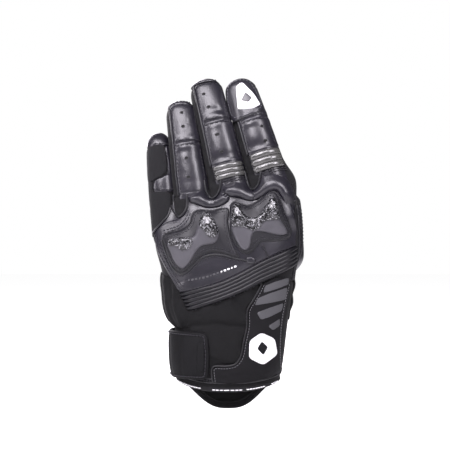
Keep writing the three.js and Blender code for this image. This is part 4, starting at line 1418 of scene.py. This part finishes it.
def wrist_ribs():
    """The padded rolls over the wrist, from low on the outer side to high on the thumb side."""
    path = np.array([(-36, 71), (-29, 72.5), (-21, 74.5), (-5.5, 79), (10, 86), (25.5, 94.5), (41.5, 102),
                     (54.5, 108)])
    step = np.array([(1.2, -2.7), (1.0, -2.7), (0.6, -2.7), (0, -2.7), (0, -2.9), (0, -3.0), (0, -3.0),
                     (0, -2.8)])
    rolls = []
    for k in range(WRIST_RIBS):
        line = curve_through(path + k * step, False)
        rolls.append(rib(f"wrist_rib_{k + 1}", back_chart, line, 1.75, M["rib"], 0.95))
    band = join("wrist_ribs", rolls)
    on_wrist(band, "wrist_ribs")
    edge = [curve_through(path + k * step, False) for k in (-0.75, 4.8)]
    on_wrist(stitches("wrist_ribs_thread", back_chart, edge, M["thread"], 0.9))


DASHES = 14
FAINT_SHARE = 0.62  # the share of the dashes that are faint


def back_marks():
    """A row of plain dashes on the back of the hand, faint on the left and bright on the right."""
    row = curve_through([(-30.5, 82), (-17, 84.5), (-4, 89), (8, 93.5)], False)
    length = np.linalg.norm(np.diff(row, axis=0), axis=1).sum()
    made = []
    for k in range(DASHES):
        t = (k + 0.5) / DASHES
        at = resample(row, length / 200, False)[int(t * 199)]
        half = 0.95 if k % 3 else 0.6
        corners = ((-half, -0.9), (half, -0.5), (half, 1.0), (-half, 0.6))
        outline = rounded([(at[0] + x, at[1] + z) for x, z in corners], 0.3, 3)
        material = M["stripe"] if t < FAINT_SHARE else M["film"]
        made.append(patch("dash", back_chart, outline, material, 0.15, 0.3, 1.15, 0.6, sunk=0.3,
                          relief=back_relief_flat))
    marks = join("back_marks", made)
    on_wrist(marks, slot="reflective_patch")


def back_relief_flat(x, z, d):
    """The same folds, without their fading at the leather's edge."""
    return back_relief(x, z, np.full_like(x, 9.0))


hand_shell()
hand_back()
guards()
ridge()
webs()
wrist_ribs()
back_marks()

# ---------------------------------------------------------------- palm

def palm():
    """The palm side: leather, a strip at the fingers' roots, a hard slider, and a patch beside it."""
    line = degrees_outline([(112, 84), (118, 72), (242, 72), (252, 92), (256, 112), (251, 124), (215, 130.5),
                            (165, 133.5), (128, 133.5), (112, 124), (104, 112), (106, 98)], 8)
    leather_palm = patch("palm_leather", hand_chart, line, M["palm"], 1.2, 1.5, 0.5, 2.2, relief=palm_relief,
                         sunk=1.8)
    on_wrist(leather_palm, "palm_panel")
    strip = degrees_outline([(112, 134), (128, 134), (165, 134), (215, 131), (250, 125), (254, 121),
                             (252, 132), (215, 140), (165, 147), (128, 147), (110, 142)])
    roots = patch("palm_roots", hand_chart, strip, M["palm"], 1.0, 1.2, 0.2, 2.0, sunk=1.2)
    on_wrist(roots, "palm_finger_roots")
    slider = degrees_outline([(192, 80), (236, 80), (240, 96), (226, 110), (200, 106), (190, 94)], 7)
    hard = patch("palm_slider", hand_chart, slider, M["plastic"], 2.8, 2.6, 1.2, 1.6, bulge=1.0, sunk=1.6)
    on_wrist(hard, "palm_slider")
    side = degrees_outline([(126, 84), (172, 80), (178, 96), (168, 110), (140, 114), (124, 102)], 8)
    on_wrist(patch("palm_patch", hand_chart, side, M["palm"], 1.3, 1.5, 1.1, 1.8, sunk=1.4), "palm_patch")
    rows = [inner_line(line, 2.6), inner_line(side, 1.8)]
    on_wrist(stitches("palm_thread", hand_chart, rows[:1], M["pale_thread"], 1.85, *FINE_STITCH))
    on_wrist(stitches("palm_patch_thread", hand_chart, rows[1:], M["pale_thread"], 2.6, *FINE_STITCH))
    band = degrees_outline([(104, 64), (256, 64), (250, 78), (110, 78)])
    on_wrist(patch("wrist_palm_gusset", hand_chart, band, M["stretch"], 0.9, 1.2, 0, 2.0, relief=gathers,
                   sunk=1.5), "wrist_palm_gusset")


def palm_relief(u, v, d):
    """The hand's creases across and along the palm."""
    angle = u / CUFF_MM
    h = -0.8 * np.exp(-((v - 118 + 0.12 * (angle - 180)) / 1.6) ** 2) * np.clip((angle - 130) / 30, 0, 1)
    h -= 0.8 * np.exp(-((angle - 150 - 0.5 * (v - 95)) / 2.6) ** 2) * np.clip((118 - v) / 12, 0, 1)
    h += 0.7 * np.exp(-((angle - 218) / 22) ** 2 - ((v - 96) / 16) ** 2)
    return h * np.clip(d / 4, 0, 1)


def gathers(u, v, d):
    """Small ridges of gathered stretch cloth."""
    return 0.45 * np.sin(u * 1.9 + 0.6 * np.sin(v * 0.4)) * np.clip(d / 2.5, 0, 1)


THUMB_SPLIT = 53.0  # the thumb's pieces part here, below its joint
ROOT_RING = 34.0  # how far up the thumb its root has become a round tube


def thumb_foot():
    """Where the thumb's root meets the palm's side: angles and heights on the hand, and the rims there."""
    a = TUBE_ANGLES
    angle, z = (x.ravel() for x in np.meshgrid(np.arange(50, 240, 2.0), np.arange(78, 136, 1.5)))
    skin = hand_point(angle, z, np.zeros(len(z)))
    rim = thumb.surface(a, 20.0, 0.0) - thumb.at(np.array(20.0))[0]
    wanted = thumb.at(np.array(8.0))[0] + 1.5 * rim
    near = ((wanted[:, None] - skin[None]) ** 2).sum(-1).argmin(1)
    place = np.stack([angle[near], z[near]], -1)
    for _ in range(8):
        place = (np.roll(place, 1, 0) + 2 * place + np.roll(place, -1, 0)) / 4
    foot = hand_point(place[:, 0], place[:, 1], np.full(len(a), -1.2))
    out = hand_point(place[:, 0], place[:, 1], np.full(len(a), 1.0)) - foot
    return a, foot, unit(out)


FOOT = thumb_foot()


def thumb_root_point(angle, s, h):
    """The thumb's surface, which spreads below ROOT_RING until it lies on the hand."""
    angle, s, h = floats(angle, s, h)
    a, feet, outs = FOOT
    foot, out = (np.stack([np.interp(angle, a, rows[:, k], period=360) for k in range(3)], -1)
                 for rows in (feet, outs))
    top = thumb.surface(angle, np.full_like(s, ROOT_RING), np.zeros_like(s))
    axis, way = thumb.at(np.full_like(s, ROOT_RING))
    run = top - foot
    length = np.linalg.norm(run, axis=-1, keepdims=True)
    along = run - (run * out).sum(-1, keepdims=True) * out
    t = np.clip(s / ROOT_RING, 0, 1)[..., None]
    curve = ((1 - t) ** 3 * foot + 3 * (1 - t) ** 2 * t * (foot + 0.42 * along)
             + 3 * (1 - t) * t**2 * (top - 0.35 * length * way) + t**3 * top)
    face = unit((1 - t) * out + t * unit(top - axis))
    return np.where(s[..., None] < ROOT_RING, curve + face * h[..., None], thumb.surface(angle, s, h))


def thumb_chart(u, v, h):
    return thumb_root_point(np.degrees(u / ROUND), v, h)


def on_thumb_root(obj, *nodes, slot=None):
    paint(obj, *nodes, slot=slot)
    place_on(thumb, 20)
    place_on(thumb, 46)
    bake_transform(obj)


def on_thumb(obj, *nodes, slot=None):
    paint(obj, *nodes, slot=slot)
    place_on(thumb, 56)
    place_on(thumb, 76)
    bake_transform(obj)


def thumb_pieces():
    """The thumb: a tube of palm leather, two panels on its back, and their seams."""
    def folded(a, s, h):
        inner = np.clip(-np.cos(np.radians(a)) * PALM_SIDE, 0, 1) * smooth((s - 30) / 10)
        return thumb_root_point(a, s, h + inner * (0.5 + palm_creases(s, 66)))

    chart = thumb_chart
    end = thumb.length
    lengths = np.concatenate([np.linspace(0, ROOT_RING, 18), np.arange(ROOT_RING + 2, THUMB_SPLIT, 2),
                              [THUMB_SPLIT]])
    low = grid_tube("thumb_root", folded, TUBE_ANGLES, lengths, M["palm"], thickness=1.2)
    on_thumb_root(low, "thumb_palm_proximal", slot="palm_leather")
    lengths = np.concatenate([np.arange(THUMB_SPLIT - 0.6, end - DOME - 1, 2), dome_lengths(end)])
    high = grid_tube("thumb_tube", folded, TUBE_ANGLES, lengths, M["palm"])
    on_thumb(high, "thumb_palm_distal", "thumb_flex_gusset", slot="palm_leather")
    side = math.radians(76) * ROUND
    low_line = rounded([(-0.7 * side, 9), (0.7 * side, 9), (side, 18), (side, THUMB_SPLIT),
                        (-side, THUMB_SPLIT), (-side, 18)], 5)
    back_low = patch("thumb_back_base", chart, low_line, M["back"], 1.2, 1.4, spacing=1.8)
    on_thumb_root(back_low, "thumb_back_proximal")
    high_line = rounded([(-side, THUMB_SPLIT - 0.8), (side, THUMB_SPLIT - 0.8), (side, end - 14),
                         (0.6 * side, end - 4.5), (-0.6 * side, end - 4.5), (-side, end - 14)], 6)
    back = patch("thumb_back", chart, high_line, M["back"], 1.25, 1.5, relief=thumb_folds)
    on_thumb(back, "thumb_back_distal")
    parts = (("low", on_thumb_root, 9, THUMB_SPLIT - 1), ("high", on_thumb, THUMB_SPLIT + 1, end - 16))
    for label, place, s0, s1 in parts:
        rows = [along_line(a, s0, s1) for a in (-67, 67)]
        place(stitches(f"thumb_thread_{label}", chart, rows, M["thread"], 1.3))
        edges = [on_chart(chart, along_line(a, s0, s1), 0.3) for a in (-80, 80)]
        place(tubes(f"thumb_piping_{label}", edges, 0.6, M["piping"]))
        rows = [along_line(a, s0 + 1, s1) for a in (-90, 90)]
        place(stitches(f"thumb_palm_thread_{label}", chart, rows, M["pale_thread"], 0.25, *FINE_STITCH))
    t = np.radians(np.linspace(-62, 62, 30)) * ROUND
    cross = [np.stack([t, np.full(30, s)], -1) for s in (78, 80.2)]
    on_thumb(stitches("thumb_cross_thread", chart, cross, M["thread"], 1.35))


def thumb_folds(u, v, d):
    """Creases over the thumb's joint."""
    h = sum(-0.55 * np.exp(-((v - s + 0.01 * u**2) / 1.4) ** 2) for s in (61, 66, 71))
    return h * np.clip(d / 4, 0, 1)


palm()
thumb_pieces()

# ---------------------------------------------------------------- cuff

CUFF_TOP = 80.0
LINING_TOP = 104.0


def hem(angle):
    """Height of the cuff's lower edge: a shallow curve at the back, and a tongue on the palm side."""
    a = np.asarray(angle, float) % 360
    away = np.abs(a - 180)
    tongue = 4.0 - 26.5 * np.exp(-((away / 46) ** 2.2)) * np.clip((88 - away) / 10, 0, 1)
    back = -2.0 + 6.0 * np.sin(np.radians(a)) ** 2
    return np.where(away < 84, tongue, back)


def cuff_shell_point(angle, t, h):
    z = hem(angle) + (CUFF_TOP - hem(angle)) * t
    return cuff_point(angle, z, h)


def lining_point(angle, t, h):
    return cuff_point(angle, hem(angle) + 1.5 + (LINING_TOP - hem(angle)) * t, h - 2.5)


def along_hem(low, high, count, rise):
    """A line at a height over the hem, between two angles."""
    a = np.linspace(low, high, count)
    return np.stack([a * CUFF_MM, hem(a) + rise], -1)


def cuff_folds(x, z, d):
    """The neoprene's creases under the wrist's ribs and above the strap."""
    h = 0.9 * np.exp(-((z - 56 + 0.10 * x) / 5) ** 2)
    h -= 1.5 * np.exp(-((z - 49.5 + 0.12 * (x + 10) + 0.004 * (x - 5) ** 2) / 2.2) ** 2)
    h -= 0.9 * np.exp(-((z - 60 + 0.9 * (x + 28)) / 1.8) ** 2) * np.exp(-((x + 24) / 9) ** 2)
    h += 0.5 * np.sin(x * 0.35 + z * 0.12)
    return h * np.clip(d / 5, 0, 1)


def cuff_body():
    """The cuff's shell and lining, and its three padded panels, which are settled as cloth."""
    angles = np.arange(0, 360, 3.0)
    share = np.linspace(0, 1, 34)
    shell = grid_tube("cuff_shell", cuff_shell_point, angles, share, M["neoprene"], thickness=2.2)
    on_wrist(shell, "cuff_palm_panel")
    lining = grid_tube("cuff_lining", lining_point, angles, share, M["lining"], thickness=0.8)
    on_wrist(lining, "cuff_lining")
    back = curve_through([(-30.5, 61.5), (-21, 64), (-5.5, 68.5), (10, 74), (23.5, 79.5), (21, 68.5),
                          (15.5, 60), (15, 47), (11.5, 35), (9.5, 22.5), (6, 19.5), (-10, 18), (-10, 5.5),
                          (-22.5, 6), (-24, 27.5), (-29, 44.5), (-32, 54)], True, 5)
    panel = patch("cuff_back", back_chart, rounded(back, 1), M["neoprene"], 1.0, 1.4, 0, 2.0, bulge=0.8,
                  relief=cuff_folds, sunk=1.2)
    billow(panel, 0.05, 2.2)
    on_wrist(panel, "cuff_back_panel")
    line = degrees_outline([(243, 46), (300, 45), (323, 47), (325, 60), (318, 72), (306, 84), (268, 88),
                            (243, 82)], 5)
    puff = patch("outer_puff", cuff_chart, line, M["neoprene"], 0.8, 2.0, 0, 1.8, bulge=0.5, reach=7,
                 relief=puff_folds, sunk=1.2)
    billow(puff, 0.05, 1.2)
    on_wrist(puff, "cuff_outer_panel")
    line = degrees_outline([(84, 50), (116, 50), (122, 62), (118, 82), (84, 84), (81, 70)], 6)
    inner = patch("inner_puff", cuff_chart, line, M["neoprene"], 0.8, 1.8, 0, 1.8, bulge=0.7, reach=6,
                  relief=inner_folds, sunk=1.2)
    billow(inner, 0.06, 1.6)
    on_wrist(inner)


def puff_folds(u, v, d):
    """Upright folds in the padded side of the cuff, drawn in at its lower end."""
    h = 0.6 * np.cos(u * 0.42 + 0.5) + 0.3 * np.cos(u * 0.93 + 0.06 * v)
    h += 2.6 * smooth((74 - v) / 20) - 0.8 * np.exp(-((v - 48) / 3) ** 2)
    return h * np.clip(d / 4, 0, 1)


def inner_folds(u, v, d):
    """A fuller middle, drawn in at its lower end, for the cuff's thumb side."""
    h = 0.5 * np.cos(v * 0.45 + 0.04 * u) - 1.0 * np.exp(-((v - 52) / 3) ** 2)
    return h * np.clip(d / 4, 0, 1)


def binding():
    """The bound edge round the cuff and its tongue, with a seam line above and short pale marks."""
    angles = np.arange(0, 360, 1.5)
    edge = cuff_point(angles, hem(angles) + 0.6, -0.9)
    ring = tubes("cuff_binding", [edge], 1.9, M["tape"], 10, closed=True)
    on_wrist(ring, "cuff_binding_back", "cuff_binding_tongue")

    welts = [on_chart(cuff_chart, along_hem(-85, 85, 160, rise), 0.35) for rise in (5.5, 8.5)]
    on_wrist(tubes("hem_seams", welts, 0.5, M["piping"]))
    on_wrist(stitches("hem_thread", cuff_chart, [along_hem(-85, 85, 160, 7.0)], M["thread"], 0.3))
    on_wrist(stitches("tongue_thread", cuff_chart, [along_hem(94, 266, 160, 4.2)], M["thread"], 0.3))
    on_wrist(tubes("lining_seam", [on_chart(cuff_chart, along_hem(120, 240, 90, 4.5), -3.5)], 0.5, M["tape"]))
    rows = [along_hem(low, high, 40, 0.3) for low, high in ((-72, -27), (-13, 13), (16, 40), (52, 72))]
    on_wrist(stitches("hem_marks", cuff_chart, rows, M["film"], 0.95, 2.0, 0.9, 0.42), slot="binding_tape")


def hem_wrinkles(x, z, d):
    """Shallow slanted wrinkles in the printed cloth between its emblem and the hem."""
    low = smooth((15 - z) / 6)
    wrinkles = np.sin(0.55 * x + 0.9 * z) + 0.6 * np.sin(0.23 * x - 1.1 * z + 1.0)
    return 0.32 * low * wrinkles * np.clip(d / 3, 0, 1)


def printed_panel():
    """The thumb side's printed cloth: slanted grey stripes and a plain pale shield, with a piped seam."""
    line = [(27.5, 79.5), (24, 73.5), (20.5, 66.5), (16.5, 59.5), (16, 47), (13.5, 35), (11, 22.5),
            (7, 18), (1, 16.5), (-10, 15.5), (-10, 4), (4, 3), (18, 4.5), (32, 7), (41.5, 11), (41, 27.5),
            (41.5, 43), (44, 57.5), (47.5, 71), (48.5, 82.5), (38, 85)]
    panel_line = rounded(line, 3)
    panel = patch("printed_panel", back_chart, panel_line, M["print"], 1.1, 1.3, 0.2, 1.5, bulge=0.5,
                  relief=hem_wrinkles, sunk=1.4)
    on_wrist(panel, "cuff_thumb_panel")

    def face(x, z, d):
        e = distance_to(np.stack([x, z], -1), panel_line)
        return 0.5 * (1 - np.exp(-((e / 8) ** 2)))

    stripes = [[(29, 78), (36.5, 81), (47, 84), (47, 79), (38, 75.5), (27.5, 72.5)],
               [(23.5, 68.5), (32, 72), (46, 76.5), (44.5, 67), (33.5, 65), (21, 63)],
               [(22.5, 57.5), (32, 61), (43, 64.5), (41.5, 58.5), (32, 54), (25.5, 52)],
               [(31, 47), (36, 50), (40, 52.5), (40, 47), (34.5, 43.5)]]
    for k, stripe in enumerate(stripes):
        on_wrist(patch(f"printed_stripe_{k + 1}", back_chart, rounded(stripe, 1), M["stripe"], 0.12, 0.4, 1.3,
                       1.5, relief=face, sunk=0.3))
    shield = rounded([(26, 42), (36, 37), (38, 25), (27, 17.5), (16.5, 23), (17, 36)], 2.5)
    film = patch("cuff_emblem", back_chart, shield, M["film"], 0.4, 0.7, 1.3, 1.5, relief=face, sunk=0.4)
    on_wrist(film, "cuff_emblem")
    centre = rounded([(26, 35.5), (30.5, 31), (27, 25), (22.5, 30)], 1.2)
    inset = patch("cuff_emblem_inset", back_chart, centre, M["print"], 0.3, 0.5, 1.75, 1.2, relief=face,
                  sunk=0.3)
    on_wrist(inset)
    seam = curve_through([(26.5, 79.5), (23.5, 73.5), (19.5, 66.5), (15.5, 59.5), (15, 47), (12.5, 35),
                          (10, 23.5), (6, 18.5), (0, 17), (-11, 16), (-11, 4.5)], False)
    on_wrist(piping("printed_panel_piping", back_chart, seam, 1.15, 0.55))
    rows = [offset_path(seam, 2.0)]
    on_wrist(stitches("printed_panel_thread", back_chart, rows, M["pale_thread"], 1.35, *SMALL_STITCH))
    right = curve_through([(47.5, 79), (43.5, 62.5), (41, 47), (40, 27.5), (40.5, 13.5)], False)
    on_wrist(stitches("printed_panel_side_thread", back_chart, [right], M["pale_thread"], 1.5, *SMALL_STITCH))


def strap():
    """The closure strap: sewn on the palm side, round the outer side, and closed on the back."""
    held = degrees_outline([(112, 8), (233, 8), (233, 42), (112, 42)], 3)
    anchor = patch("strap_anchor", cuff_chart, held, M["strap"], 2.4, 1.6, 0.4, 2.0, sunk=1.2)
    on_wrist(anchor, "strap_anchor")
    cross = [degrees_outline([(116, 11), (128, 11), (128, 39), (116, 39)], 2)]
    on_wrist(stitches("strap_anchor_thread", cuff_chart, cross, M["thread"], 2.85))
    bend = degrees_outline([(224, 8), (248, 8), (248, 41), (224, 41)], 3)
    hinge = patch("strap_hinge", cuff_chart, bend, M["strap"], 1.7, 1.4, 2.3, 1.5, sunk=0.9)
    paint(hinge)
    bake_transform(hinge)
    loop = degrees_outline([(258, 11), (322, 11), (322, 38), (258, 38)], 3)
    on_wrist(patch("loop_pad", cuff_chart, loop, M["pile"], 0.7, 0.8, 0.2, 1.8, sunk=0.8), "loop_pad")
    line = degrees_outline([(232, 6), (344, 6.5), (345, 24), (343, 42), (318, 43), (232, 43)], 5)
    band = patch("closure_strap", cuff_chart, line, M["strap"], 2.2, 1.8, 2.4, 2.0, bulge=0.8,
                 relief=strap_folds, sunk=-0.1)
    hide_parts("closure_strap")
    hook = degrees_outline([(262, 12), (318, 12), (318, 37), (262, 37)], 3)
    grip = patch("hook_pad", cuff_chart, hook, M["pile"], 0.9, 0.6, 1.3, 2.2, sunk=0.0)
    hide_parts("hook_pad")
    tab = degrees_outline([(334, 13), (341, 13), (341, 35), (334, 35)], 3)
    pull = patch("strap_pull_tab", cuff_chart, tab, M["strap"], 0.6, 0.8, 5.0, 1.6, sunk=1.2)
    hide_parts("strap_pull_tab")
    inset = inner_line(line, 2.2)
    rows = [inset[inset[:, 0] > 246 * CUFF_MM]]  # the seam stops short of the hinge
    thread = stitches("closure_strap_thread", cuff_chart, rows, M["thread"], 5.0)
    for obj, key in ((band, "strap_leather"), (grip, "hook_and_loop"), (pull, "strap_leather"),
                     (thread, "strap_leather")):
        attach(obj, "strap")


def strap_folds(u, v, d):
    """Upright creases where the strap turns onto the back."""
    a = u / CUFF_MM
    h = -0.7 * np.exp(-((a - 333 - 0.1 * (v - 24)) / 1.6) ** 2) - 0.5 * np.exp(-((a - 312) / 2.2) ** 2)
    h -= 0.5 * np.exp(-((a - 290 + 0.15 * v) / 2.4) ** 2)
    return h * np.clip(d / 4, 0, 1)


cuff_body()
binding()
printed_panel()
strap()

# ---------------------------------------------------------------- floor, lights and camera

LIGHT_COLOUR = (1.0, 0.955, 1.03)
MIDDLE = (0, 0, 0.12)
# Soft lights: place and aim in metres, size of the panel and power in watts.
LIGHTS = {
    "front": dict(at=(-0.25, -0.95, 0.78), toward=(0, 0, 0.2), size=(0.35, 0.35), power=6),
    "key": dict(at=(0.6, -0.75, 0.72), toward=(0, 0, 0.18), size=(0.25, 0.7), power=7),
    "left": dict(at=(-0.8, -0.5, 0.5), toward=(0, 0, 0.16), size=(0.16, 0.8), power=4),
    "top": dict(at=(-0.12, -0.42, 0.74), toward=(0, 0, 0.2), size=(0.7, 0.2), power=5),
    "behind": dict(at=(-0.5, 0.9, 0.6), toward=MIDDLE, size=(0.8, 0.8), power=13),
}
FLOOR_REACH = 3000  # millimetres from the middle to the floor's edges
FLOOR_HEIGHT = -32
FLOOR_GLOW = 0.88
AMBIENT = 0.09
WHITE = (1, 1, 1, 1)
CAMERA_PLACE = (-0.0016, -0.985, 0.1248)


def area_light(name, at, toward, size, power):
    light = bpy.data.lights.new(name, "AREA")
    light.shape = "RECTANGLE"
    light.size, light.size_y = size
    light.energy = power
    light.color = LIGHT_COLOUR
    obj = bpy.data.objects.new(name, light)
    obj.location = at
    obj.rotation_euler = (Vector(toward) - Vector(at)).to_track_quat("-Z", "Y").to_euler()
    bpy.context.scene.collection.objects.link(obj)
    return obj


def floor_paper():
    """Pale paper, lit a little of its own where it is seen, so that it meets the backdrop without an edge."""
    n = Nodes("floor_paper")
    seen = n.add("ShaderNodeLightPath").outputs["Is Camera Ray"]
    n.put(n.shader.inputs["Emission Strength"], n.math("MULTIPLY", seen, FLOOR_GLOW))
    n.shader.inputs["Emission Color"].default_value = WHITE
    fine = n.noise(400, 3)
    colour = n.mix(n.ramp(fine, 0, 1), (0.86, 0.86, 0.86), (0.9, 0.9, 0.9))
    return n.finish(colour, 0.95, n.bump(fine, 0.01 * MM))


def backdrop():
    """A white world where it is seen, which lights the glove only faintly."""
    world = bpy.data.worlds.new("studio")
    world.use_nodes = True
    tree = world.node_tree
    ambient = tree.nodes["Background"]
    ambient.inputs["Color"].default_value = WHITE
    ambient.inputs["Strength"].default_value = AMBIENT
    white = tree.nodes.new("ShaderNodeBackground")
    white.inputs["Color"].default_value = WHITE
    seen = tree.nodes.new("ShaderNodeLightPath")
    mix = tree.nodes.new("ShaderNodeMixShader")
    tree.links.new(seen.outputs["Is Camera Ray"], mix.inputs[0])
    tree.links.new(ambient.outputs[0], mix.inputs[1])
    tree.links.new(white.outputs[0], mix.inputs[2])
    tree.links.new(mix.outputs[0], tree.nodes["World Output"].inputs["Surface"])
    return world


def studio():
    square = ((-1, -1), (1, -1), (1, 1), (-1, 1))
    corners = [(x * FLOOR_REACH, y * FLOOR_REACH, FLOOR_HEIGHT) for x, y in square]
    floor = link("floor", corners, [(0, 1, 2, 3)], False)
    floor.data.materials.append(floor_paper())
    floor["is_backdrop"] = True
    bpy.context.scene.world = backdrop()
    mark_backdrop(*(area_light(name, **light) for name, light in LIGHTS.items()))
    bpy.context.scene.view_settings.view_transform = "Standard"


def camera():
    data = bpy.data.cameras.new("camera")
    data.lens = 100
    data.sensor_width = 36
    data.clip_start = 0.01
    data.clip_end = 20
    obj = bpy.data.objects.new("camera", data)
    obj.location = CAMERA_PLACE
    obj.rotation_euler = (math.radians(90), 0, 0)
    bpy.context.scene.collection.objects.link(obj)
    bpy.context.scene.camera = obj


studio()
camera()
[[list(map(float, corner)) for corner in box] for box in (CAD_BOX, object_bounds())]
